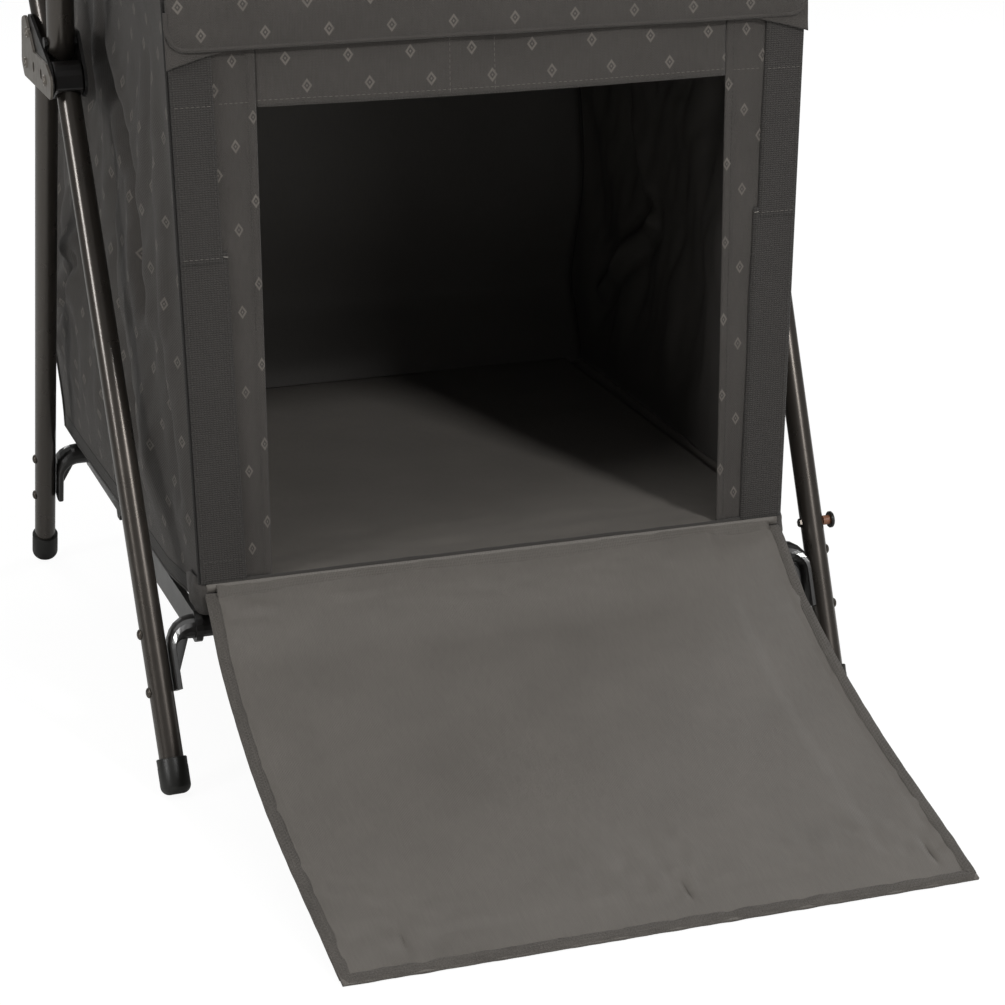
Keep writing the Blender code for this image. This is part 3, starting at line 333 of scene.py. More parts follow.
@dataclass(frozen=True)
class MouldedNylon(Mottled):
    """Glass-filled nylon moulded in a spark-eroded tool: a fine dull grain, rubbed on its high spots."""

    tones: tuple[str, str] = ("", "#1f1d1c")
    gloss: Pair | None = (0.08, -0.10)
    grit_depth: float = 0.03 * MM


@dataclass(frozen=True)
class MouldedRubber(Mottled):
    """Moulded rubber: matt, with dust caught in its grain."""

    tones: tuple[str, str] = ("", "#2c2c28")
    reach: float = 0.5
    cloud: float = 7 * MM
    cloud_detail: float = 5.0
    grit: float = 1.0 * MM
    grit_detail: float = 3.0
    grit_depth: float = 0.05 * MM


@dataclass(frozen=True)
class Laminate(Mottled):
    """Melamine laminate on board: a fine flecked print under a pebbled sheen."""

    tones: tuple[str, str] = ("#3f3d3b", "#5b5854")
    cloud: float = 2.4 * MM
    grit: float = 1.1 * MM


@dataclass(frozen=True)
class AnodisedAluminium(Mottled):
    """Extruded aluminium, satin anodised: faint die lines under a matt film."""

    tones: tuple[str, str] = ("#98969a", "")
    cloud: float = 0.7 * MM
    cloud_detail: float = 2.0
    grit: float = 0.7 * MM
    grit_depth: float = 0.015 * MM

    def place(self, tree: Tree) -> Socket:
        """Give the surface's metres, drawn out along the extrusion."""
        settings = {"Scale": (0.05, 0.05, 1.0)}
        return add_node(tree, "ShaderNodeMapping", settings, {"Vector": super().place(tree)}).outputs[0]


@dataclass(frozen=True)
class SewingThread(Finish):
    """Twisted polyester sewing thread."""

    lit: str = "#77726c"

    def detail(self, tree: Tree, shader: Node) -> None:
        """Add the twist's fine light and dark."""
        self.tint(tree, shader, self.grain(tree, self.place(tree), 0.9 * MM, 1.0), self.colour, self.lit)
        shader.inputs["Sheen Weight"].default_value = 0.2


@dataclass(frozen=True)
class WovenPolyester(Finish):
    """Plain-woven coated polyester cloth, cut flat, with an optional light motif.

    The real thread is about 0.4 mm, too fine to show, so the weave is drawn at the coarser pitch in thread.
    """

    thread: float = 1.15 * MM
    depth: float = 0.26 * MM
    faded: str = "#4e4a46"
    # Tone painted into the weave's hollows as their shade; empty for none.
    gap: str = ""
    motif: str = ""
    pitch: float = 63 * MM
    column: float = 16 * MM
    motif_wide: float = 3.9 * MM
    motif_high: float = 5.2 * MM
    sheen: float = 0.12
    fading: float = 60 * MM
    slub: float = 1.6 * MM
    wear: float = 9 * MM
    softness: float = 11 * MM
    soft_depth: float = 0.25 * MM

    def place(self, tree: Tree) -> Socket:
        """Give the socket of the cloth's own flat metres."""
        return add_node(tree, "ShaderNodeUVMap", {"uv_map": CLOTH_UV}).outputs[0]

    def wave(self, tree: Tree, at: Socket, direction: str, size: float) -> Socket:
        """Give a sine across the cloth.

        Args:
            tree: The material's node tree.
            at: The socket of the cloth's flat metres.
            direction: X across the cloth or Y along it.
            size: Half of the sine's length.

        Returns:
            The sine's socket, from 0 to 1.
        """
        settings = {"bands_direction": direction, "Scale": math.pi / 10 / size, "Distortion": 0.0}
        return add_node(tree, "ShaderNodeTexWave", settings, {"Vector": at}).outputs["Fac"]

    def weave(self, tree: Tree, at: Socket) -> Socket:
        """Give the height of a plain weave.

        Args:
            tree: The material's node tree.
            at: The socket of the cloth's flat metres.

        Returns:
            The height's socket, from 0 to 1.
        """
        over = add_node(tree, "ShaderNodeTexChecker", {"Scale": 1 / self.thread}, {"Vector": at})
        links = {0: over.outputs["Fac"]}
        for slot, direction in ((2, "X"), (3, "Y")):
            links[slot] = self.wave(tree, at, direction, self.thread)
        return add_node(tree, "ShaderNodeMix", {"data_type": "FLOAT"}, links).outputs[0]

    def lozenges(self, tree: Tree, at: Socket) -> Socket:
        """Give the mask of small hollow lozenges, each column dropped by a third of the repeat.

        Args:
            tree: The material's node tree.
            at: The socket of the cloth's flat metres.

        Returns:
            The mask's socket, 1 on the motif's lines.
        """
        split = add_node(tree, "ShaderNodeSeparateXYZ", links={0: at})
        columns = math_node(tree, "MULTIPLY", split.outputs[0], 1 / self.column)
        dropped = math_node(tree, "MULTIPLY", math_node(tree, "FLOOR", columns), 1 / 3)
        rows = math_node(tree, "MULTIPLY_ADD", split.outputs[1], 1 / self.pitch, dropped)
        reach = []
        repeats = ((columns, self.column, self.motif_wide), (rows, self.pitch, self.motif_high))
        for run, repeat, half in repeats:
            offset = math_node(tree, "SUBTRACT", math_node(tree, "FRACT", run), 0.5)
            reach.append(math_node(tree, "MULTIPLY", math_node(tree, "ABSOLUTE", offset), repeat / half))
        distance = math_node(tree, "ADD", reach[0], reach[1])
        off_line = math_node(tree, "ABSOLUTE", math_node(tree, "SUBTRACT", distance, 0.80))
        masks = []
        for value, outer, inner in ((off_line, 0.34, 0.14), (distance, 0.30, 0.14)):
            settings = {"interpolation_type": "SMOOTHSTEP", "From Min": outer, "From Max": inner}
            masks.append(add_node(tree, "ShaderNodeMapRange", settings, {"Value": value}).outputs[0])
        return math_node(tree, "MAXIMUM", *masks)

    def detail(self, tree: Tree, shader: Node) -> None:
        """Add weave, slubs, faint fading, painted shade in the weave's hollows where a shade tone is given,
        and the motif.

        Args:
            tree: The material's node tree.
            shader: The material's shader.
        """
        at = self.place(tree)
        faded = math_node(tree, "MULTIPLY", self.grain(tree, at, self.fading, 4.0), 0.5)
        drawn = add_node(tree, "ShaderNodeMapping", {"Scale": (1.0, 0.12, 1.0)}, {"Vector": at})
        slubs = self.grain(tree, drawn.outputs[0], self.slub, 2.0)
        tone = math_node(tree, "MULTIPLY_ADD", slubs, 0.45, faded)
        ground = self.tint(tree, shader, tone, self.colour, self.faded)
        height = self.weave(tree, at)
        # Paint the weave's low parts darker as their shade.
        if self.gap:
            ground = self.tint(tree, shader, height, self.gap, ground)
        if self.motif:
            worn = self.spread(tree, self.grain(tree, at, self.wear, 3.0), 0.2, 1.1)
            mask = math_node(tree, "MULTIPLY", self.lozenges(tree, at), worn)
            self.tint(tree, shader, mask, ground, self.motif)
        soft = self.relief(tree, self.grain(tree, at, self.softness, 3.0), self.soft_depth, shader)
        self.relief(tree, height, self.depth, shader, soft)
        shader.inputs["Sheen Weight"].default_value = self.sheen
        shader.inputs["Sheen Roughness"].default_value = 0.5


@dataclass(frozen=True)
class Webbing(WovenPolyester):
    """Polyester webbing woven in short ribs across its width, with painted shade between them."""

    thread: float = 1.7 * MM
    rib: float = 2.2 * MM
    depth: float = 0.5 * MM

    def weave(self, tree: Tree, at: Socket) -> Socket:
        """Give the height of ribs that are as long as one warp bundle is wide.

        Args:
            tree: The material's node tree.
            at: The socket of the webbing's flat metres.

        Returns:
            The height's socket, from 0 to 1.
        """
        waves = []
        for direction, size, power in (("X", self.rib, 0.2), ("Y", self.thread, 0.6)):
            waves.append(math_node(tree, "POWER", self.wave(tree, at, direction, size), power))
        return math_node(tree, "MULTIPLY", *waves)


TUBE_PAINT = PowderCoat("powder_coated_bronze_grey_steel", "#4d4843", 0.27, 0.7, ("", "#524d48"))
BAR_PAINT = PowderCoat("powder_coated_black_steel", "#1d1c1b", 0.36, 0.1, ("", "#2a2827"))
ZINC = PressedZincSteel("zinc_plated_pressed_steel", "#8a847d", 0.35, 0.5)
DARK_SCREW = PressedZincSteel("blackened_steel_screw", "#4b4743", 0.4, 1.0, gloss=(0.08, -0.12))
NYLON = MouldedNylon("moulded_black_nylon", "#0f0e0e", 0.34)
RUBBER = MouldedRubber("moulded_black_rubber", "#1a1a18", 0.40)
# Near-black painted shade at the bottom of the rivets' shallow bores.
BORE_PAINTED_SHADE = MouldedNylon("dark_rivet_bore", "#080808", 0.6, tones=("", "#0c0c0c"))
COPPER_NYLON = MouldedNylon("moulded_brown_nylon_sleeve", "#9a6a50", 0.35, tones=("", "#6b4230"))
SHELL = WovenPolyester("woven_polyester_motif", "#35312e", 0.85, faded="#524e4a", motif="#7c766f")
SHELL_PLAIN = WovenPolyester("woven_polyester_plain", "#35312e", 0.85, faded="#524e4a")
DARK_LINING = WovenPolyester(
    "black_coated_polyester_back", "#4b4845", 0.7, faded="#565350", depth=0.08 * MM, sheen=0.0
)
LINING = WovenPolyester(
    "coated_polyester_lining", "#595550", 0.60, faded="#746f69", depth=0.12 * MM, sheen=0.05
)
# Lining painted darker than the door's own. On the patches it stands in for the shade that their low relief
# misses; on the hinge cloth it cancels the light that its tilt catches.
LINING_PAINTED_SHADE = WovenPolyester("lining_patch", "#4d4944", 0.65, faded="#67625c", depth=0.2 * MM, sheen=0.05)
# The turned lining of the door's edge, speckled like the cloth, with its base tone painted darker than the
# lining as the rolled edge's shade.
HEM_WITH_PAINTED_SHADE = WovenPolyester(
    "turned_lining_hem", "#37332f", 0.75, faded="#6f6a64", thread=1.6 * MM, depth=0.45 * MM, sheen=0.05
)
# The webbing's darker tone between its ribs is painted shade.
WEBBING = Webbing("ribbed_polyester_webbing", "#393633", 0.85, faded="#464340", gap="#2a2725")
BINDING = WovenPolyester(
    "woven_binding_tape", "#2f2c29", 0.85, faded="#3a3734", thread=1.3 * MM, depth=0.2 * MM
)
# A real piping at each corner, painted near-black as the shade of the gap beside it.
PIPING_PAINTED_SHADE = WovenPolyester(
    "dark_corner_piping", "#1f1d1b", 0.85, faded="#2b2826", thread=1.3 * MM, depth=0.2 * MM
)
THREAD = SewingThread("polyester_sewing_thread", "#4f4b46", 0.6)
# Dark sewing thread, its dark tone also painted shade along the seams it follows.
DARK_THREAD_AND_SEAM_SHADE = SewingThread("dark_polyester_sewing_thread", "#302d2a", 0.6, lit="#433f3b")
PALE_THREAD = SewingThread("pale_sewing_thread", "#a8a39b", 0.5)
TOP_LAMINATE = Laminate("melamine_laminate_board", "#4c4a47", 0.42)
EDGE = AnodisedAluminium("satin_anodised_aluminium", "#b1afab", 0.36, 1.0)


def eased(value: float) -> float:
    """Ease a value from 0 to 1, held at both ends."""
    held = max(0.0, min(1.0, value))
    return held * held * (3 - 2 * held)


def risen(distance: float, reach: float) -> float:
    """Rise evenly from 0 to 1 over a reach, then stay at 1."""
    return min(1.0, distance / reach)


def inset(*shares: float) -> float:
    """Give how far the nearest of some shares lies from its own 0 or 1."""
    return min(min(share, 1 - share) for share in shares)


def ripple(spot: Vector, size: float, seed: float) -> float:
    """Give smooth noise from -1 to 1 whose features have about one size."""
    return noise.noise(Vector((spot.x / size + seed, spot.y / size - seed, spot.z / size + 0.5 * seed)))


def new_object(name: str, work: Work, finish: Finish) -> Piece:
    """Make an object of modelled faces, with its finish.

    Args:
        name: The piece's name.
        work: Its faces, in metres in the row frame, freed here.
        finish: The finish that it wears.

    Returns:
        The new object.
    """
    mesh = bpy.data.meshes.new(name)
    work.to_mesh(mesh)
    work.free()
    piece = bpy.data.objects.new(name, mesh)
    bpy.context.collection.objects.link(piece)
    mesh.materials.append(finish.material())
    mesh.shade_smooth()
    mesh.set_sharp_from_angle(angle=SHARP_ANGLE)
    return piece


def normal_at(surface: Surface, u: float, v: float, step: float = 0.004) -> Vector:
    """Find a surface's unit normal.

    Args:
        surface: Gives a point for shares u and v.
        u: The share along the first direction.
        v: The share along the second direction.
        step: The share by which the surface is probed.

    Returns:
        The unit normal, along u cross v.
    """
    u0, u1 = max(0.0, u - step), min(1.0, u + step)
    v0, v1 = max(0.0, v - step), min(1.0, v + step)
    across = surface(u1, v) - surface(u0, v)
    up = surface(u, v1) - surface(u, v0)
    return across.cross(up).normalized()


@dataclass
class Cloth:
    """A piece of cloth: a surface over shares u and v, its flat size and its thickness."""

    name: str
    surface: Surface
    flat: Pair
    columns: int
    rows: int
    thickness: float
    outward: float = 0.0
    uv_start: Pair = (0.0, 0.0)

    def build(self, finish: Finish) -> Piece:
        """Build the cloth as a thin closed slab.

        Args:
            finish: The finish that it wears.

        Returns:
            The cloth's object, its modifiers applied.
        """
        work = bmesh.new()
        layer = work.loops.layers.uv.new(CLOTH_UV)
        grid = []
        shares = [column / self.columns for column in range(self.columns + 1)]
        for row in range(self.rows + 1):
            spots = [self.surface(share, row / self.rows) for share in shares]
            grid.append([work.verts.new(spot) for spot in spots])
        for row in range(self.rows):
            for column in range(self.columns):
                corners = ((column, row), (column + 1, row), (column + 1, row + 1), (column, row + 1))
                face = work.faces.new([grid[r][c] for c, r in corners])
                for loop, (c, r) in zip(face.loops, corners):
                    u = self.uv_start[0] + self.flat[0] * c / self.columns
                    v = self.uv_start[1] + self.flat[1] * r / self.rows
                    loop[layer].uv = (u, v)
        piece = new_object(self.name, work, finish)
        solid = piece.modifiers.new("thickness", "SOLIDIFY")
        solid.thickness = self.thickness
        solid.offset = self.outward
        graph = bpy.context.evaluated_depsgraph_get()
        graph.update()
        final = bpy.data.meshes.new_from_object(piece.evaluated_get(graph))
        piece.modifiers.clear()
        piece.data = final
        return piece

    def path(self, points: Sequence[Pair], lift: float, count: int) -> list[Vector]:
        """Follow the cloth with a line.

        Args:
            points: Corners of the line as shares u and v.
            lift: How far the line stands off the surface.
            count: The number of steps on each straight stretch.

        Returns:
            The line's points.
        """
        shares = []
        for (u0, v0), (u1, v1) in zip(points, points[1:]):
            for step in range(count):
                shares.append((u0 + (u1 - u0) * step / count, v0 + (v1 - v0) * step / count))
        shares.append(points[-1])
        return [self.surface(u, v) + normal_at(self.surface, u, v) * lift for u, v in shares]


def line_inside(piece: Piece, inward: Vector, finish: Finish) -> Piece:
    """Give the faces that look inward a lining of their own.

    Args:
        piece: The cloth piece.
        inward: The direction towards the cabinet's inside.
        finish: The lining's finish.

    Returns:
        The same piece.
    """
    piece.data.materials.append(finish.material())
    for face in piece.data.polygons:
        if face.normal.dot(inward) > 0:
            face.material_index = 1
    return piece


@dataclass(frozen=True)
class Crease:
    """A hollow pressed into hanging cloth along a bent line of (along, height) points."""

    line: tuple[Pair, ...]
    depth: float
    width: float

    def press(self, along: float, height: float) -> float:
        """Give how deep the cloth lies at a place, with low ridges beside the hollow.

        Args:
            along: The distance back from the front corner.
            height: The height over the ground.

        Returns:
            The inward distance in metres.
        """
        nearest = math.inf
        for (a0, h0), (a1, h1) in zip(self.line, self.line[1:]):
            run, rise = a1 - a0, h1 - h0
            share = ((along - a0) * run + (height - h0) * rise) / (run * run + rise * rise)
            share = max(0.0, min(1.0, share))
            nearest = min(nearest, math.hypot(along - a0 - run * share, height - h0 - rise * share))
        away = nearest / self.width
        if away > 5:
            return 0.0
        return self.depth * (math.exp(-away * away) - 0.4 * math.exp(-((away - 2.0) ** 2)))


def add_ring(work: Work, centre: Vector, axis: Vector, radius: float, sides: int) -> list[bmesh.types.BMVert]:
    """Add a ring of points square to an axis.

    Args:
        work: The mesh that gets the ring.
        centre: The ring's centre.
        axis: The unit axis.
        radius: The ring's radius.
        sides: Its number of points.

    Returns:
        The ring's points in order.
    """
    guide = Vector((0, 0, 1)) if abs(axis.z) < 0.9 else Vector((1, 0, 0))
    first = axis.cross(guide).normalized()
    second = axis.cross(first)
    ring = []
    for side in range(sides):
        angle = 2 * math.pi * side / sides
        out = first * math.cos(angle) + second * math.sin(angle)
        ring.append(work.verts.new(centre + out * radius))
    return ring


def join_rings(work: Work, rings: Sequence[list[bmesh.types.BMVert]]) -> None:
    """Join each ring of points to the next with faces.

    Args:
        work: The mesh being built.
        rings: The rings in order.
    """
    for low, high in zip(rings, rings[1:]):
        for side in range(len(low)):
            after = (side + 1) % len(low)
            work.faces.new((low[side], low[after], high[after], high[side]))


def turned(
    name: str, start: Vector, along: Vector, profile: Sequence[Pair], finish: Finish, sides: int = 32
) -> Piece:
    """Turn a profile round an axis.

    Args:
        name: The piece's name.
        start: The axis' start.
        along: The axis' direction.
        profile: Pairs of distance along the axis and radius.
        finish: The finish that it wears.
        sides: The number of faces round the axis.

    Returns:
        The turned piece, closed at both ends.
    """
    axis = along.normalized()
    work = bmesh.new()
    rings = [add_ring(work, start + axis * run, axis, radius, sides) for run, radius in profile]
    join_rings(work, rings)
    work.faces.new(list(reversed(rings[0])))
    work.faces.new(rings[-1])
    bmesh.ops.recalc_face_normals(work, faces=work.faces[:])
    return new_object(name, work, finish)


def resample(points: Sequence[Vector], pitch: float) -> list[Vector]:
    """Give points spaced evenly along a line.

    Args:
        points: The line's points.
        pitch: The wanted distance in metres.

    Returns:
        The new points, ends included.
    """
    runs = [0.0]
    for first, second in zip(points, points[1:]):
        runs.append(runs[-1] + (second - first).length)
    total = runs[-1]
    count = max(1, round(total / pitch))
    spaced = []
    index = 0
    for step in range(count + 1):
        target = total * step / count
        while index < len(runs) - 2 and runs[index + 1] < target:
            index += 1
        span = runs[index + 1] - runs[index]
        share = (target - runs[index]) / span if span > 0 else 0.0
        spaced.append(points[index].lerp(points[index + 1], share))
    return spaced


@dataclass
class Stitching:
    """Rows of lock stitch, each stitch a small spindle of thread."""

    name: str
    pitch: float = 4.2 * MM
    length: float = 3.2 * MM
    thick: float = 0.55 * MM
    sides: int = 5
    rows: list[Sequence[Vector]] = field(default_factory=list)

    def add(self, points: Sequence[Vector]) -> None:
        """Add a row of stitches along a line."""
        self.rows.append(points)

    def build(self, finish: Finish) -> Piece:
        """Build every stitch as one mesh.

        Args:
            finish: The thread's finish.

        Returns:
            The stitches' object.
        """
        work = bmesh.new()
        for row in self.rows:
            spots = resample(row, self.pitch)
            for first, second in zip(spots, spots[1:]):
                along = second - first
                if along.length > 0:
                    self.stitch(work, first.lerp(second, 0.5), along.normalized())
        return new_object(self.name, work, finish)

    def stitch(self, work: Work, middle: Vector, along: Vector) -> None:
        """Add one spindle of thread.

        Args:
            work: The mesh that gets the stitch.
            middle: The stitch's middle.
            along: Its unit direction.
        """
        rings = []
        for share, size in ((-0.32, 0.8), (0.0, 1.0), (0.32, 0.8)):
            centre = middle + along * (self.length * share)
            rings.append(add_ring(work, centre, along, self.thick / 2 * size, self.sides))
        join_rings(work, rings)
        tips = [work.verts.new(middle + along * (self.length / 2 * sign)) for sign in (-1, 1)]
        for side in range(self.sides):
            after = (side + 1) % self.sides
            work.faces.new((tips[0], rings[0][after], rings[0][side]))
            work.faces.new((tips[1], rings[-1][side], rings[-1][after]))


def sweep(
    name: str, path: Sequence[Vector], section: Sequence[Pair], out: Vector, finish: Finish
) -> Piece:
    """Sweep a closed section along an open path, its UV map in metres along the path.

    Args:
        name: The piece's name.
        path: The points of the path.
        section: The section as (out, across) pairs.
        out: The direction that the section's first number points in.
        finish: The finish that it wears.

    Returns:
        The swept piece, closed at both ends.
    """
    work = bmesh.new()
    layer = work.loops.layers.uv.new(CLOTH_UV)
    rings: list[list[bmesh.types.BMVert]] = []
    runs = [0.0]
    for index, point in enumerate(path):
        before, after = path[max(index - 1, 0)], path[min(index + 1, len(path) - 1)]
        along = (after - before).normalized()
        up = (out - along * out.dot(along)).normalized()
        across = along.cross(up)
        rings.append([work.verts.new(point + up * high + across * wide) for high, wide in section])
        if index:
            runs.append(runs[-1] + (point - before).length)
    girth = [0.0]
    for (high, wide), (next_high, next_wide) in zip(section, [*section[1:], section[0]]):
        girth.append(girth[-1] + math.hypot(high - next_high, wide - next_wide))
    for index in range(len(path) - 1):
        low, high = rings[index], rings[index + 1]
        for side in range(len(section)):
            after = (side + 1) % len(section)
            face = work.faces.new((low[side], low[after], high[after], high[side]))
            corners = ((side, index), (side + 1, index), (side + 1, index + 1), (side, index + 1))
            for loop, (turn, step) in zip(face.loops, corners):
                loop[layer].uv = (girth[turn], runs[step])
    work.faces.new(list(reversed(rings[0])))
    work.faces.new(rings[-1])
    bmesh.ops.recalc_face_normals(work, faces=work.faces[:])
    return new_object(name, work, finish)


def round_section(radius: float, sides: int = 10, flatten: float = 1.0) -> list[Pair]:
    """Give a round or oval section.

    Args:
        radius: Half its width.
        sides: Its number of points.
        flatten: Its height as a share of its width.

    Returns:
        The section's points.
    """
    angles = [2 * math.pi * side / sides for side in range(sides)]
    return [(radius * flatten * math.cos(angle), radius * math.sin(angle)) for angle in angles]


def tape_section(wide: float, thick: float) -> list[Pair]:
    """Give a tape's section, with rounded edges.

    Args:
        wide: The tape's width.
        thick: The tape's thickness.

    Returns:
        The section's points.
    """
    half, edge = wide / 2, thick * 0.35
    return [
        (0, -half + edge), (0, half - edge), (edge, half), (thick - edge, half),
        (thick, half - edge), (thick, -half + edge), (thick - edge, -half), (edge, -half),
    ]


def gather(piece: Piece) -> Piece:
    """Make a cabinet piece ride the cabinet body, with a mesh of its own."""
    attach(piece, "cabinet")
    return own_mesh(piece)


def dress(node: str, finish: Finish) -> None:
    """Give a CAD node a finish in place of its plain one.

    Args:
        node: The CAD node's name.
        finish: The finish that it wears.
    """
    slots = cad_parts[node].data.materials
    if not slots:
        slots.append(finish.material())
    for index in range(len(slots)):
        slots[index] = finish.material()


@dataclass
class Cabinet:
    """The fabric box: sides, back, floor, shelf and roof."""

    front: float = -0.077606
    back: float = 0.421337
    floor_low: float = 0.147
    floor_top: float = 0.155
    hem: float = 0.137
    top: float = 0.939
    shelf: float = 0.569
    half_low: float = 0.2425
    half_high: float = 0.259
    bulge: float = 33 * MM
    bulge_height: float = 0.222
    bulge_reach: float = 0.055
    belly_near: float = 8 * MM
    belly_far: float = 5 * MM
    cloth: float = 1.2 * MM
    cut_depth: float = 0.506
    back_hems: float = 20 * MM
    tape_wide: float = 13 * MM
    tape_stand: float = 0.9 * MM
    tape_level: float = 6.8 * MM
    hem_seam: float = 12.5 * MM
    roll_r: float = 1.7 * MM
    piping_r: float = 1.9 * MM
    creases: tuple[Crease, ...] = (
        Crease(((0.345, 0.90), (0.335, 0.76), (0.300, 0.62), (0.285, 0.50)), 9 * MM, 17 * MM),
        Crease(
            ((0.240, 0.64), (0.228, 0.53), (0.160, 0.487), (0.106, 0.446), (0.090, 0.36)), 6.5 * MM, 10 * MM
        ),
        Crease(((0.355, 0.330), (0.425, 0.285), (0.492, 0.232)), 6 * MM, 9 * MM),
        Crease(((0.205, 0.43), (0.190, 0.33), (0.140, 0.20)), 3 * MM, 13 * MM),
        Crease(((0.062, 0.55), (0.050, 0.40), (0.030, 0.22)), 3 * MM, 10 * MM),
        Crease(((0.400, 0.56), (0.405, 0.44), (0.370, 0.36)), 4 * MM, 14 * MM),
        Crease(((0.150, 0.88), (0.120, 0.74), (0.135, 0.62)), 5 * MM, 14 * MM),
    )

    @property
    def tall(self) -> float:
        """The cloth walls' height from their hem to the roof."""
        return self.top - self.hem

    def half(self, height: float) -> float:
        """Give half of the cabinet's width at a height."""
        share = (height - self.floor_low) / (self.top - self.floor_low)
        return self.half_low + (self.half_high - self.half_low) * share

    def back_line(self, height: float) -> float:
        """Give the back wall's place at a height, with its soft bulge.

        Args:
            height: The height over the ground.

        Returns:
            The distance along the row frame's depth.
        """
        offset = (height - self.bulge_height) / self.bulge_reach
        fade = max(0.0, min(1.0, (height - self.floor_top) / (self.bulge_height - self.floor_top)))
        return self.back + self.bulge * math.exp(-offset * offset / 2) * fade

    def belly(self, along: float, height: float) -> float:
        """Give how far the lower half of a side bags out, more towards the back."""
        out = self.belly_near * eased(along / 0.09) + self.belly_far * eased((along - 0.09) / 0.36)
        return out * (1 - eased((height - 0.30) / 0.20))

    def from_seam(self, height: float) -> float:
        """Give how far a height lies from the nearest of the floor, the shelf and the roof."""
        return min(abs(height - level) for level in (self.floor_low, self.shelf, self.top))

    def side_swell(self, along: float, height: float, side: Side) -> float:
        """Give how far a side stands out: hanging folds, pressed creases and fine puckers.

        Args:
            along: The distance back from the front corner.
            height: The height over the ground.
            side: The side of the cabinet.

        Returns:
            The outward distance in metres.
        """
        near = self.from_seam(height)
        calm = eased(near / 0.09)
        ends = risen(along, 0.03) * risen(max(0.0, 0.5 - along), 0.03)
        wave = math.sin(2 * math.pi * along / 0.115 + 2.2 * math.sin(height / 0.115))
        soft = ripple(Vector((along, height * 0.30, 0.0)), 0.045, 3.1 * side.value) * 0.008
        fine = ripple(Vector((along + 0.35 * height, height * 0.5, 0)), 0.018, 7.7 * side.value) * 0.0024
        mirrored = 0.0 if side is Side.LEFT else 0.03
        pressed = sum(crease.press(along + mirrored, height) for crease in self.creases)
        hanging = (0.0045 + 0.0036 * wave + soft + fine) * calm
        folds = hanging - 1.3 * pressed * (0.3 + 0.7 * eased(near / 0.05))
        return max(-0.0015, folds * ends + self.belly(along, height))

    def build(self) -> list[Piece]:
        """Build every cloth piece of the cabinet.

        Returns:
            The pieces.
        """
        pieces = []
        for side in Side:
            pieces += self.side_panel(side)
        pieces += self.floor_panel()
        pieces += [self.shelf_panel(), self.roof_panel()]
        pieces += self.back_panel()
        return pieces

    def side_panel(self, side: Side) -> list[Piece]:
        """Build a hanging side with its hem tape, corner pipings painted near-black as the shade in the
        corner gaps, and stitches.

        Args:
            side: The side of the cabinet.

        Returns:
            The side's pieces.
        """
        sign = side.value

        def surface(u: float, v: float) -> Vector:
            """Give the side's point for shares along and up.

            Args:
                u: The share along.
                v: The share up.

            Returns:
                The point in metres.
            """
            height = self.hem + self.tall * v
            along = (self.back_line(height) - self.front) * u
            out = self.half(height) + self.side_swell(along, height, side)
            return Vector((sign * out, self.front + along, height))

        flat, uv_start = (self.cut_depth, self.tall), (0.013, 0.007)
        cloth = Cloth(f"side_cloth_{side.label}", surface, flat, 150, 220, self.cloth, sign * 1.0, uv_start)
        piece = gather(line_inside(cloth.build(SHELL), Vector((-sign, 0, 0)), DARK_LINING))
        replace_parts(piece, f"side_wall_{side.label}")
        lift = sign * 0.6 * MM
        stitches = Stitching(f"side_stitches_{side.label}")
        high = self.hem_seam / self.tall
        stitches.add(cloth.path([(0.0, high), (1.0, high)], lift + sign * 0.7 * MM, 60))
        for u in (0.016, 0.984):
            stitches.add(cloth.path([(u, 0.0), (u, 1.0)], lift, 90))
        pieces = [piece, gather(stitches.build(THREAD))]
        out = Vector((sign, 0, 0))
        for name, level, section in (
            ("hem_tape", self.tape_level / self.tall, tape_section(self.tape_wide, self.tape_stand)),
            ("hem_roll", 0.0005, round_section(self.roll_r)),
        ):
            path = cloth.path([(0.0, level), (1.0, level)], sign * self.tape_stand, 90)
            pieces.append(gather(sweep(f"{name}_{side.label}", path, section, out, BINDING)))
        for end, u in ((End.FRONT, 0.0), (End.REAR, 1.0)):
            path = [surface(u, step / 60) + out * self.tape_stand for step in range(61)]
            corner = Vector((sign, end.value, 0)).normalized()
            name = f"corner_piping_{end.label}_{side.label}"
            # Each piping is painted near-black as the shade in its corner's gap.
            pieces.append(gather(sweep(name, path, round_section(self.piping_r), corner, PIPING_PAINTED_SHADE)))
        return pieces

    def floor_panel(self) -> list[Piece]:
        """Build the stiffened floor, its board wrapped in lining cloth.

        Returns:
            The floor's pieces.
        """
        low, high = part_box("floor_panel")
        half, front, back = high.x, low.y, high.y

        def surface(u: float, v: float) -> Vector:
            """Give the floor's point for shares across and back.

            Args:
                u: The share across.
                v: The share back.

            Returns:
                The point in metres.
            """
            spot = Vector((-half + 2 * half * u, front + (back - front) * v, high.z - 0.8 * MM))
            near_front = max(0.0, 1 - (spot.y - front) / 0.11)
            drawn = Vector((spot.x * 0.45, spot.y, 0))
            puff = ripple(spot, 0.07, 1.7) * 1.2 * MM + ripple(drawn, 0.02, 4.2) * 2.6 * MM * near_front
            return spot + UPWARD * (puff * risen(inset(u, v), 0.05))

        cloth = Cloth("floor_cloth", surface, (2 * half, back - front), 110, 110, 6.4 * MM, -1.0)
        piece = gather(cloth.build(LINING))
        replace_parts(piece, "floor_panel")
        return [piece] + [self.floor_gusset(side, half) for side in Side]

    def floor_gusset(self, side: Side, floor_half: float) -> Piece:
        """Build the strip of lining that joins the floor's edge to the bagging side.

        Args:
            side: The side of the cabinet.
            floor_half: Half of the floor's width.

        Returns:
            The strip.
        """
        inner = floor_half - 4 * MM
        clear = 2 * MM

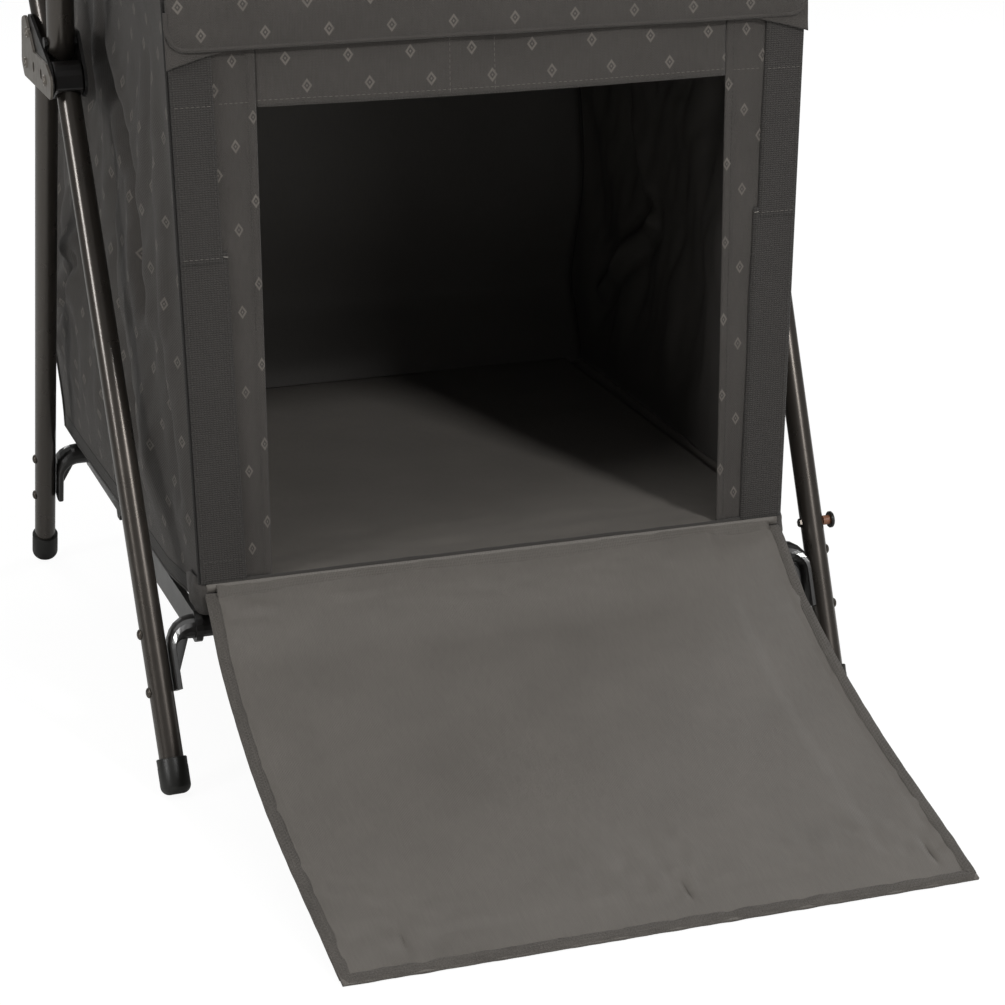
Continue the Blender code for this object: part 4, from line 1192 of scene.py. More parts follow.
        def surface(u: float, v: float) -> Vector:
            """Give the strip's point for shares back and outwards.

            Args:
                u: The share back.
                v: The share outwards.

            Returns:
                The point in metres.
            """
            along = clear + (self.back - self.front - 2 * clear) * u
            height = self.floor_top - clear - 2.5 * MM * math.sin(math.pi * v)
            outer = self.half(height) + self.side_swell(along, height, side) - 0.5 * MM
            return Vector((side.value * (inner + (outer - inner) * v), self.front + along, height))

        cloth = Cloth(f"floor_gusset_{side.label}", surface, (0.495, 0.012), 90, 6, 0.9 * MM)
        return gather(cloth.build(LINING))

    def shelf_panel(self) -> Piece:
        """Build the board shelf, wrapped in lining cloth.

        Returns:
            The shelf.
        """
        low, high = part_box("mid_shelf")
        size = high - low

        def surface(u: float, v: float) -> Vector:
            """Give the shelf's point for shares across and back."""
            spot = Vector((low.x + size.x * u, low.y + size.y * v, high.z - 0.3 * MM))
            return spot + UPWARD * (ripple(spot, 0.08, 2.9) * 0.3 * MM)

        piece = gather(Cloth("shelf_cloth", surface, (size.x, size.y), 30, 30, 5.2 * MM, -1.0).build(LINING))
        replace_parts(piece, "mid_shelf")
        return piece

    def roof_panel(self) -> Piece:
        """Build the roof cloth under the top bars.

        Returns:
            The roof.
        """
        low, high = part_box("top_panel")
        size = high - low

        def surface(u: float, v: float) -> Vector:
            """Give the roof's point for shares across and back."""
            spot = Vector((low.x + size.x * u, low.y + size.y * v, low.z + 1.4 * MM))
            return spot + UPWARD * ((ripple(spot, 0.09, 5.3) - 1) * 2 * MM * risen(inset(u, v), 0.12))

        cloth = Cloth("roof_cloth", surface, (size.x, size.y), 40, 40, 1.2 * MM, 1.0)
        piece = gather(cloth.build(SHELL_PLAIN))
        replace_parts(piece, "top_panel")
        return piece

    def back_panel(self) -> list[Piece]:
        """Build the back cloth with its soft bulge, its hem and its seams.

        Returns:
            The back's pieces.
        """

        def surface(u: float, v: float) -> Vector:
            """Give the back's point for shares across and up.

            Args:
                u: The share across.
                v: The share up.

            Returns:
                The point in metres.
            """
            height = self.hem + self.tall * v
            half = self.half(height) - 0.1 * MM + self.belly(0.5, height)
            spot = Vector((-half + 2 * half * u, self.back_line(height) + 1.2 * MM, height))
            calm = risen(self.from_seam(height), 0.08) * risen(inset(u), 0.08)
            fold = ripple(Vector((spot.x, height * 0.4, 0)), 0.06, 9.1) * 4 * MM
            return spot + BACKWARD * ((fold + 1 * MM) * calm)

        flat = (2 * self.half_low, self.tall + self.back_hems)
        cloth = Cloth("back_cloth", surface, flat, 70, 100, self.cloth, 1.0)
        piece = gather(line_inside(cloth.build(SHELL), FORWARD, DARK_LINING))
        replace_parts(piece, "back_wall")
        stitches = Stitching("back_stitches")
        for u in (0.014, 0.986):
            stitches.add(cloth.path([(u, 0.0), (u, 1.0)], -0.6 * MM, 90))
        stitches.add(cloth.path([(0.0, 0.0105), (1.0, 0.0105)], -0.6 * MM, 60))
        return [piece, gather(stitches.build(THREAD))]


@dataclass
class FrontFace:
    """The flat front: stiles, header, band with its corner flaps, and two runs of webbing a side."""

    cabinet: Cabinet
    webbing_wide: float = 31.5 * MM
    webbing_wider: float = 4.0 * MM
    webbing_thick: float = 4.0 * MM
    webbing_level: float = 3.1 * MM
    overlap: float = 0.407
    overlap_length: float = 8 * MM
    header_seam: float = 0.5255
    foot_seam: float = 0.172
    slab_thick: float = 1.3 * MM
    slab_uv_x: float = 0.3
    band_base: float = 0.567
    band_round: float = 15 * MM
    band_end: float = 12 * MM
    flap_run: float = 66 * MM
    flap_top: float = 0.583
    roll_reach: float = 0.236
    roll_r: float = 2.2 * MM

    def build(self) -> list[Piece]:
        """Build every piece of the front.

        Returns:
            The pieces.
        """
        pieces = []
        for side in Side:
            pieces += self.stile(side)
            pieces += self.webbing(side)
            pieces += self.corner(side)
        pieces += self.header()
        pieces += self.band()
        pieces.append(self.hinge_roll())
        return pieces

    def slab(
        self,
        node: str,
        name: str,
        columns: int,
        rows: int,
        sag: float = 0.0,
        puff: float = 0.6 * MM,
        tilt: float = 0.0,
    ) -> tuple[Piece, Cloth]:
        """Dress a flat rectangular front node as cloth.

        Args:
            node: The CAD node that it stands for.
            name: The cloth's name.
            columns: Faces across.
            rows: Faces up.
            sag: How far the lower edge sags in its middle.
            puff: The depth of its soft creases.
            tilt: How far its lower edge stands forward.

        Returns:
            The piece and its cloth.
        """
        low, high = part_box(node)
        size = high - low

        def surface(u: float, v: float) -> Vector:
            """Give the cloth's point for shares across and up.

            Args:
                u: The share across.
                v: The share up.

            Returns:
                The point in metres.
            """
            z = low.z + size.z * v - sag * math.sin(math.pi * u) * (1 - v)
            spot = Vector((low.x + size.x * u, (low.y + high.y) / 2, z))
            calm = risen(inset(u), 0.08) * risen(inset(v), 0.04)
            lean = tilt * (1 - v) * risen(inset(u), 0.04)
            return spot + BACKWARD * (ripple(spot, 0.035, len(name) * 1.3) * puff * calm - lean)

        uv_start = (low.x + self.slab_uv_x, low.z)
        cloth = Cloth(name, surface, (size.x, size.z), columns, rows, self.slab_thick, 0.0, uv_start)
        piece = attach(line_inside(cloth.build(SHELL), BACKWARD, DARK_LINING), "front_face")
        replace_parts(piece, node)
        return piece, cloth

    def stile(self, side: Side) -> list[Piece]:
        """Build the motif strip beside the openings, its outer edge slanted like the cabinet's.

        Args:
            side: The side of the cabinet.

        Returns:
            The strip and its stitches.
        """
        node = f"stile_{side.label}"
        low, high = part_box(node)
        inner, tall = min(abs(low.x), abs(high.x)), high.z - low.z

        def surface(u: float, v: float) -> Vector:
            """Give the cloth's point for shares outwards and up.

            Args:
                u: The share outwards.
                v: The share up.

            Returns:
                The point in metres.
            """
            z = low.z + tall * v
            x = inner + (self.cabinet.half(z) - inner) * u
            spot = Vector((side.value * x, (low.y + high.y) / 2, z))
            calm = risen(inset(u), 0.10) * risen(inset(v), 0.04)
            edge = -0.7 * MM if u < 0.13 else 0.0
            return spot + BACKWARD * (edge + ripple(spot, 0.045, 2.7 * side.value) * 1.1 * MM * calm)

        flat = (self.cabinet.half(high.z) - inner, tall)
        cloth = Cloth(f"stile_cloth_{side.label}", surface, flat, 30, 160, 1.1 * MM, 0.0, (0.309, low.z))
        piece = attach(line_inside(cloth.build(SHELL), BACKWARD, DARK_LINING), "front_face")
        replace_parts(piece, node)
        stitches = Stitching(f"stile_stitches_{side.label}")
        lift = 0.75 * MM * side.value
        stitches.add(cloth.path([(0.10, 0.0), (0.10, 1.0)], lift, 60))
        cross = Stitching(f"stile_cross_stitches_{side.label}")
        level = (self.header_seam - low.z) / tall
        cross.add(cloth.path([(0.08, level), (0.45, level)], lift, 8))
        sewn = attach(stitches.build(DARK_THREAD_AND_SEAM_SHADE), "front_face")
        return [piece, sewn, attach(cross.build(THREAD), "front_face")]

    def webbing(self, side: Side) -> list[Piece]:
        """Build the webbing runs: an upper one sewn over the head of a lower one.

        Args:
            side: The side of the cabinet.

        Returns:
            The runs, their stitches and the loose thread tails.
        """
        low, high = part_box(f"webbing_{side.label}")
        lower = self.webbing_run(side, 0, low.z, self.overlap + self.overlap_length)
        upper = self.webbing_run(side, 1, self.overlap, high.z)
        tails = Stitching(f"thread_tails_{side.label}", pitch=2.6 * MM, length=2.6 * MM, thick=0.7 * MM)
        for height, shift, reach, level in (
            (0.526, 17 * MM, 4 * MM, 4.0 * MM),
            (self.overlap + 5 * MM, 0.0, 3 * MM, -0.2 * MM),
        ):
            out = self.cabinet.half(height) - self.webbing_wide - shift
            spots = []
            for step in range(9):
                share = step / 8
                swing = 1.6 * MM * math.sin(6.0 * share) * share
                spots.append(Vector((side.value * (out - reach * share), low.y + level, height + swing)))
            tails.add(spots)
        return [*lower, *upper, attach(tails.build(PALE_THREAD), "front_face")]

    def webbing_run(self, side: Side, index: int, bottom: float, top: float) -> list[Piece]:
        """Build one run of webbing with its stitches.

        Args:
            side: The side of the cabinet.
            index: 0 for the lower run and 1 for the upper one.
            bottom: The height of its lower end.
            top: The height of its upper end.

        Returns:
            The run and its stitches.
        """
        low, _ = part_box(f"webbing_{side.label}")
        wide = self.webbing_wide if index else self.webbing_wide + self.webbing_wider
        curl_depth = (0.1 if index else 0.45) * MM
        proud = 0.45 * MM * index

        def surface(u: float, v: float) -> Vector:
            """Give the webbing's point for shares inwards and up, its inner edge curled out a little.

            Args:
                u: The share inwards.
                v: The share up.

            Returns:
                The point in metres.
            """
            z = bottom + (top - bottom) * v
            out = self.cabinet.half(z) + 0.6 * MM - wide * u
            curl = curl_depth * eased((u - 0.72) / 0.28)
            spot = Vector((side.value * out, low.y + self.webbing_level - proud - curl, z))
            return spot + BACKWARD * (ripple(spot, 0.05, 2.2 + index) * 0.3 * MM)

        name = f"{index}_{side.label}"
        flat, uv_start = (wide, top - bottom), (self.slab_uv_x, bottom)
        cloth = Cloth(f"webbing_run_{name}", surface, flat, 12, 80, self.webbing_thick, 0.0, uv_start)
        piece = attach(cloth.build(WEBBING), "front_face")
        lift = -(self.webbing_thick / 2 + 0.15 * MM) * side.value
        edges = Stitching(f"webbing_edge_stitches_{name}")
        for u in (0.07, 0.93):
            edges.add(cloth.path([(u, 0.0), (u, 1.0)], lift, 40))
        crossing = Stitching(f"webbing_stitches_{name}")
        heights = (self.header_seam - 0.5 * MM, self.overlap + 4 * MM) if index else (self.foot_seam,)
        for height in heights:
            v = (height - bottom) / (top - bottom)
            (crossing if index else edges).add(cloth.path([(0.05, v), (0.95, v)], lift, 4))
        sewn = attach(edges.build(DARK_THREAD_AND_SEAM_SHADE), "front_face")
        if not index:
            return [piece, sewn]
        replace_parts(piece, f"webbing_{side.label}")
        return [piece, sewn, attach(crossing.build(THREAD), "front_face")]

    def corner(self, side: Side) -> list[Piece]:
        """Build the crumpled cloth where side, floor and door meet at a lower front corner.

        Args:
            side: The side of the cabinet.

        Returns:
            The cloth and its stitches.
        """
        sign, base = side.value, self.cabinet.hem - 9 * MM
        middle = Vector((self.cabinet.half_low - 20 * MM, self.cabinet.front + 34 * MM, 0))

        def surface(u: float, v: float) -> Vector:
            """Give the cloth's point for shares round the corner and up.

            Args:
                u: The share round the corner.
                v: The share up.

            Returns:
                The point in metres.
            """
            angle = math.pi / 2 * u
            out = 28 * MM * math.cos(angle) ** 0.5
            forward = 42 * MM * math.sin(angle) ** 0.5
            spot = Vector((sign * (middle.x + out), middle.y - forward, base + 31 * MM * v))
            away = Vector((sign * out, -forward, 0)).normalized()
            tuck = 5 * MM * (1 - eased(v / 0.35)) + 3.0 * MM * eased((v - 0.72) / 0.28)
            crumple = ripple(spot, 0.012, 4.4 * sign) * 2.4 * MM + ripple(spot, 0.006, 1.9) * 0.6 * MM
            near_door = eased((1 - u) / 0.4)
            ends = min(eased(u / 0.2), near_door)
            rise = crumple * 0.4 * ends - 8 * MM * (1 - near_door) * v
            return spot + away * (crumple * ends - tuck - 3.5 * MM * (1 - ends)) + UPWARD * rise

        name, flat = f"corner_bunch_{side.label}", (0.068, 0.027)
        cloth = Cloth(name, surface, flat, 48, 26, 1.4 * MM, sign * 1.0, (0.1, 0.1))
        stitches = Stitching(f"corner_stitches_{side.label}", thick=0.7 * MM)
        stitches.add(cloth.path([(0.55, 0.72), (0.80, 0.66)], sign * 1.9 * MM, 4))
        return [gather(cloth.build(SHELL_PLAIN)), gather(stitches.build(PALE_THREAD))]

    def hinge_roll(self) -> Piece:
        """Build the rolled seam along the floor's front edge, which the door hangs from.

        Returns:
            The roll.
        """
        low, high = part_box("floor_panel")
        path = []
        for step in range(121):
            across = -self.roll_reach + 2 * self.roll_reach * step / 120
            spot = Vector((across, low.y + 2.8 * MM, high.z - 0.9 * MM))
            path.append(spot + UPWARD * (ripple(spot, 0.03, 3.7) * 1.1 * MM))
        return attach(sweep("hinge_roll", path, round_section(self.roll_r), UPWARD, BINDING), "front_face")

    def header(self) -> list[Piece]:
        """Build the strips over the two openings.

        Returns:
            The strips and their stitches.
        """
        piece, cloth = self.slab(
            "header_strip", "header_cloth", 120, 24, sag=1.5 * MM, puff=1.2 * MM, tilt=0.8 * MM
        )
        top, top_cloth = self.slab("top_strip", "top_strip_cloth", 40, 6)
        stitches = Stitching("header_stitches")
        lift = 0.8 * MM
        stitches.add(cloth.path([(0.0, 0.06), (1.0, 0.06)], lift, 40))
        for u in (0.40, 0.495):
            stitches.add(cloth.path([(u, 0.03), (u, 0.97)], lift, 10))
        stitches.add(top_cloth.path([(0.0, 0.12), (1.0, 0.12)], lift, 40))
        return [piece, top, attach(stitches.build(THREAD), "front_face")]

    def band(self) -> list[Piece]:
        """Build the padded band across the front, round at its lower corners, with a flap below each end.

        Returns:
            The band, its edge, its stitches and the flaps.
        """
        low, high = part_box("mid_band")
        base, half, rounding = self.band_base, high.x, self.band_round

        def surface(u: float, v: float) -> Vector:
            """Give the band's point for shares across and up.

            Args:
                u: The share across.
                v: The share up.

            Returns:
                The point in metres.
            """
            x = -half + 2 * half * u
            into = max(0.0, abs(x) - (half - rounding))
            bottom = base + rounding - math.sqrt(max(0.0, rounding ** 2 - into ** 2))
            corner = max(0.0, (abs(x) - (half - self.band_end)) / self.band_end)
            top = high.z - 4 * MM * corner * corner
            crown = math.sin(math.pi * risen(0.06 + v, 1.0)) ** 0.5
            puff = 2.6 * MM * crown * min(1.0, (half - abs(x)) / self.band_end + 0.2)
            spot = Vector((x, low.y + 2.2 * MM - puff, bottom + (top - bottom) * v))
            return spot + BACKWARD * (ripple(spot, 0.05, 6.4) * 1.2 * MM)

        cloth = Cloth("band_cloth", surface, (2 * half, high.z - base), 200, 22, 1.6 * MM, 0.0, (0.047, base))
        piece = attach(cloth.build(SHELL), "front_face")
        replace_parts(piece, "mid_band")
        stitches = Stitching("band_stitches")
        stitches.add(cloth.path([(0.01, 0.94), (0.99, 0.94)], 0.95 * MM, 80))
        roll = cloth.path([(0.0, 0.6), (0.0, 0.0), (1.0, 0.0), (1.0, 0.6)], 0.0, 120)
        edge = sweep("band_edge", resample(roll, 3 * MM), round_section(1.9 * MM, 8), FORWARD, SHELL_PLAIN)
        pieces = [piece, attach(edge, "front_face"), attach(stitches.build(THREAD), "front_face")]
        return pieces + [self.flap(side, low, half) for side in Side]

    def flap(self, side: Side, low: Vector, half: float) -> Piece:
        """Build the corner flap that hangs from under an end of the band.

        Args:
            side: The side of the cabinet.
            low: The band's low corner.
            half: Half of the band's width.

        Returns:
            The flap.
        """

        def surface(u: float, v: float) -> Vector:
            """Give the flap's point for shares inwards and up.

            Args:
                u: The share inwards.
                v: The share up.

            Returns:
                The point in metres.
            """
            x = half + 0.8 * MM - self.flap_run * u
            bottom = low.z - 1.0 * MM + 17 * MM * u ** 0.9
            out = 2.6 * MM * (1 - v) ** 1.3 * (1 - 0.6 * u)
            spot = Vector((side.value * x, low.y + 4.0 * MM - out, bottom + (self.flap_top - bottom) * v))
            return spot + BACKWARD * (ripple(spot, 0.02, 3.9 * side.value) * 1.0 * MM)

        name, flat = f"band_flap_{side.label}", (self.flap_run, 22 * MM)
        cloth = Cloth(name, surface, flat, 40, 16, 1.3 * MM, 0.0, (0.35, 0.4))
        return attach(cloth.build(SHELL), "front_face")


@dataclass
class LowerDoor:
    """The let-down lower door: a stiffened panel with turned hems and three sewn patches."""

    axis_y: float = -0.083206
    axis_z: float = 0.147
    drop: float = 0.365872
    length: float = 0.403
    half: float = 0.241
    thick: float = 2.0 * MM
    hem: float = 11 * MM
    sag: float = 11 * MM
    skew: float = 8 * MM
    narrow: float = 7 * MM
    facing_across: float = 0.175
    facing_out: float = 0.362
    facing_ramp: float = 12 * MM
    edge_in: float = 4.4 * MM
    edge_r: float = 5.2 * MM
    patches: tuple[Pair, ...] = ((-0.235, -0.188), (-0.026, 0.022), (0.167, 0.216))
    patch_near: float = 0.042
    patch_far: float = 14.5 * MM
    hinge_in: float = 9 * MM

    @property
    def up(self) -> Vector:
        """The unit direction square to the let-down door."""
        return Vector((0, -math.sin(self.drop), math.cos(self.drop)))

    def surface(self, u: float, v: float) -> Vector:
        """Give the door's upper face for shares across and out.

        Args:
            u: The share across from the left.
            v: The share out from the hinge.

        Returns:
            The point in the row frame.
        """
        across = -self.half + 2 * self.half * u
        out = self.length * v
        flat = Vector((across, out, 0))
        rim = min(inset(u) * 2 * self.half, (1 - v) * self.length)
        soft = (ripple(flat, 0.13, 8.8) * 3.0 + ripple(flat, 0.05, 5.1) * 0.9) * MM
        near = max(0.0, 1 - v / 0.14) * eased((v - 0.022) / 0.03)
        left = max(0.0, 1 - u / 0.16)
        crease = ripple(Vector((across, out * 2.2, 0)), 0.022, 3.3) * (1.2 + 3.8 * left) * MM * near
        hang = self.sag * eased(v / 0.20) * (1 - eased((v - 0.40) / 0.60))
        turned_in = 0.7 * MM * (1 - eased((rim - self.hem + 1.2 * MM) / (1.2 * MM)))
        pressed = (self.pull(across, out) + turned_in) * risen(rim, 0.004)
        lift = soft * risen(rim, 0.03) + crease + pressed - hang
        facing = max(
            eased((abs(across) - self.facing_across) / self.facing_ramp),
            eased((out - self.facing_out) / self.facing_ramp),
        )
        lift += (min(lift, 0.0) - lift) * facing - 1.3 * MM * facing - 0.6 * MM
        narrowed = self.narrow * v * max(0.0, 2 * u - 1)
        spot = Vector((0, self.axis_y, self.axis_z))
        spot += Vector((0, -math.cos(self.drop), -math.sin(self.drop))) * out
        spot += Vector((across - narrowed - self.skew * math.sin(math.pi * v), 0, 0))
        return spot + self.up * lift

    def pull(self, across: float, out: float) -> float:
        """Give the puckers round the patches, and the groove beside each one.

        Args:
            across: The distance across from the middle.
            out: The distance out from the hinge.

        Returns:
            The height over the smooth cloth in metres.
        """
        height = 0.0
        flat = Vector((across, out, 0))
        for low, high in self.patches:
            away = math.hypot((across - (low + high) / 2) / 0.05, (self.length - 0.035 - out) / 0.04)
            if away < 2.5:
                height += ripple(flat, 0.013, 9.4) * 1.9 * MM * (1 - eased(away / 2.5))
            beside = (across - high - 1.5 * MM) / (2.2 * MM)
            within = (self.length - 0.032 - out) / (13 * MM)
            height -= 3.2 * MM * math.exp(-beside * beside - within * within)
        return height

    def build(self) -> list[Piece]:
        """Build the door, its hinge cloth, rolled edge, patches and stitches.

        Returns:
            The door's pieces.
        """
        wide = 2 * self.half
        cloth = Cloth("lower_door_cloth", self.surface, (wide, self.length), 190, 150, self.thick, -1.0)
        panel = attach(line_inside(cloth.build(LINING), -self.up, SHELL), "lower_door")
        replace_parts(panel, "lower_door")

        def round_the_edge(within: float, start: float, lift: float) -> list[Vector]:
            """Follow the door's three free edges, some way within them."""
            u, v = within / wide, 1 - within / self.length
            return cloth.path([(u, start), (u, v), (1 - u, v), (1 - u, start)], lift, 80)

        path = resample(round_the_edge(self.edge_in, 0.006, -self.thick / 2), 4 * MM)
        path = [spot + self.up * (ripple(spot, 0.014, 5.5) * 0.8 * MM) for spot in path]
        # The rolled edge is real; its darker colour is partly painted shade.
        edge = sweep("door_bound_edge", path, round_section(self.edge_r, 14, 0.36), self.up, HEM_WITH_PAINTED_SHADE)
        pieces = [panel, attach(edge, "lower_door")]
        stitches = Stitching("door_stitches")
        stitches.add(round_the_edge(self.hem, 0.02, 0.15 * MM))
        for index, (low, high) in enumerate(self.patches):
            pieces.append(self.patch(index, low, high, stitches))
        # The dark thread round the hem and the patches also stands in for the shade in the seams' hollows.
        pieces.append(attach(stitches.build(DARK_THREAD_AND_SEAM_SHADE), "lower_door"))
        pieces.append(self.hinge_cloth())
        return pieces

    def patch(self, index: int, low: float, high: float, stitches: Stitching) -> Piece:
        """Build one sewn patch near the door's far edge.

        Args:
            index: The patch's number from the left.
            low: Its left edge across the door.
            high: Its right edge across the door.
            stitches: The stitching that gets its seam.

        Returns:
            The patch.
        """
        u0, u1 = (low + self.half) / (2 * self.half), (high + self.half) / (2 * self.half)
        v0, v1 = 1 - self.patch_near / self.length, 1 - self.patch_far / self.length
        flat = (high - low, (v1 - v0) * self.length)

        def surface(u: float, v: float) -> Vector:
            """Give the patch's point for shares across and out.

            Args:
                u: The share across.
                v: The share out.

            Returns:
                The point in metres.
            """
            rim = min(inset(u) * flat[0], inset(v) * (v1 - v0) * self.length)
            puff = 0.9 * MM * eased(rim / (3 * MM))
            return self.surface(u0 + (u1 - u0) * u, v0 + (v1 - v0) * v) + self.up * (0.35 * MM + puff)

        cloth = Cloth(f"door_patch_{index}", surface, flat, 24, 14, 0.7 * MM, 0.0, (0.4 + low, 0.1))
        inner = [(0.05, 0.08), (0.05, 0.92), (0.95, 0.92), (0.95, 0.08), (0.05, 0.08)]
        stitches.add(cloth.path(inner, -0.4 * MM, 8))
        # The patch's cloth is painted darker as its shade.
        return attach(cloth.build(LINING_PAINTED_SHADE), "lower_door")

    def hinge_cloth(self) -> Piece:
        """Build the cloth that crosses the hinge from the floor's edge onto the door.

        Returns:
            The hinge cloth, part of it on each side of the joint.
        """
        reach, reach_half = 0.022, self.half - self.hinge_in

        def surface(u: float, v: float) -> Vector:
            """Give the cloth's point for shares across and out.

            Args:
                u: The share across.
                v: The share out.

            Returns:
                The point in metres.
            """
            across = -reach_half + 2 * reach_half * u
            onto = self.surface(0.018 + 0.964 * u, 0.012 + reach * v)
            onto += self.up * (0.7 * MM - 0.9 * MM * eased(v))
            first = Vector((across, self.axis_y + 1.5 * MM, self.axis_z + 7.0 * MM))
            spot = first.lerp(onto, eased(v / 0.5))
            left = max(0.0, 1 - u / 0.12)
            crumple = ripple(spot, 0.017, 6.1) * (0.6 + 2.2 * left) * MM
            crumple += ripple(spot, 0.007, 2.8) * 0.35 * MM
            return spot + self.up * (crumple * risen(v, 0.15) * risen(1 - v, 0.25))

        # The hinge cloth is painted darker to cancel the extra light that its tilt catches.
        piece = Cloth("door_hinge_cloth", surface, (2 * self.half, 0.02), 160, 12, 0.9 * MM, 1.0).build(LINING_PAINTED_SHADE)
        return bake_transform(piece)


@dataclass
class UpperDoor:
    """The closed upper door over the upper compartment."""

    thick: float = 1.6 * MM
    binding_r: float = 1.6 * MM

    def build(self) -> list[Piece]:
        """Build the door's cloth and its bound edge.

        Returns:
            The door's pieces.
        """
        low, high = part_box("upper_door")
        size = high - low

        def surface(u: float, v: float) -> Vector:
            """Give the door's outer face for shares across and up."""
            spot = Vector((low.x + size.x * u, low.y + 0.9 * MM, low.z + size.z * v))
            return spot + FORWARD * (abs(ripple(spot, 0.12, 1.1)) * 2.2 * MM * risen(inset(u, v), 0.07))

        flat, uv_start = (size.x, size.z), (low.x + 0.3, low.z)
        cloth = Cloth("upper_door_cloth", surface, flat, 80, 64, self.thick, 0.0, uv_start)
        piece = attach(cloth.build(SHELL), "upper_door")
        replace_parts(piece, "upper_door")
        corners = [(0.002, 0.0), (0.002, 0.998), (0.998, 0.998), (0.998, 0.0)]
        path = resample(cloth.path(corners, 0.0, 50), 5 * MM)
        binding = sweep("upper_door_binding", path, round_section(self.binding_r), FORWARD, BINDING)
        stitches = Stitching("upper_door_stitches")
        stitches.add(cloth.path([(0.03, 0.0), (0.03, 0.96), (0.97, 0.96), (0.97, 0.0)], 1.0 * MM, 50))
        return [piece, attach(binding, "upper_door"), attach(stitches.build(THREAD), "upper_door")]


@dataclass
class DressedNodes:
    """CAD nodes that only need a finish: the hanging loops and the worktop."""

    finishes: dict[str, Finish]

    def build(self) -> list[Piece]:
        """Dress the nodes.

        Returns:
            An empty list, because nothing is added.
        """
        for node, finish in self.finishes.items():
            dress(node, finish)
        return []


@dataclass
class Fastener:
    """A domed screw or rivet head."""

    name: str
    centre: Vector
    out: Vector
    radius: float = 4.2 * MM
    height: float = 2.4 * MM
    sunk: float = 0.5 * MM
    sides: int = 24

    def hollow(self, finish: Finish, bore: Finish) -> list[Piece]:
        """Build the fastener as a tubular rivet: a rolled rim round a bore painted near-black as its shade.

        Args:
            finish: The finish of the rim.
            bore: The finish at the bottom of the bore, a painted shade.

        Returns:
            The rim and the bore.
        """
        rim_shares = ((0.4, 1.0), (0.8, 0.95), (1.0, 0.85), (0.8, 0.74))
        inner = 0.66 * self.radius
        profile = [(-self.sunk, self.radius)]
        profile += [(up * self.height, out * self.radius) for up, out in rim_shares]
        profile.append((0.1 * MM, inner))
        plug = [(0.0, inner), (0.55 * self.height, 0.72 * self.radius)]
        return [
            turned(self.name, self.centre, self.out, profile, finish, self.sides),
            turned(f"{self.name}_bore", self.centre, self.out, plug, bore, self.sides),
        ]

    def build(self, finish: Finish) -> Piece:
        """Build the head as a turned dome.

        Args:
            finish: The finish that it wears.

        Returns:
            The head.
        """
        profile = [(-self.sunk, self.radius), (0.25 * MM, self.radius)]
        for step in range(1, 6):
            angle = math.pi / 2 * step / 6
            profile.append((self.height * math.sin(angle), self.radius * math.cos(angle)))
        return turned(self.name, self.centre, self.out, profile, finish, self.sides)


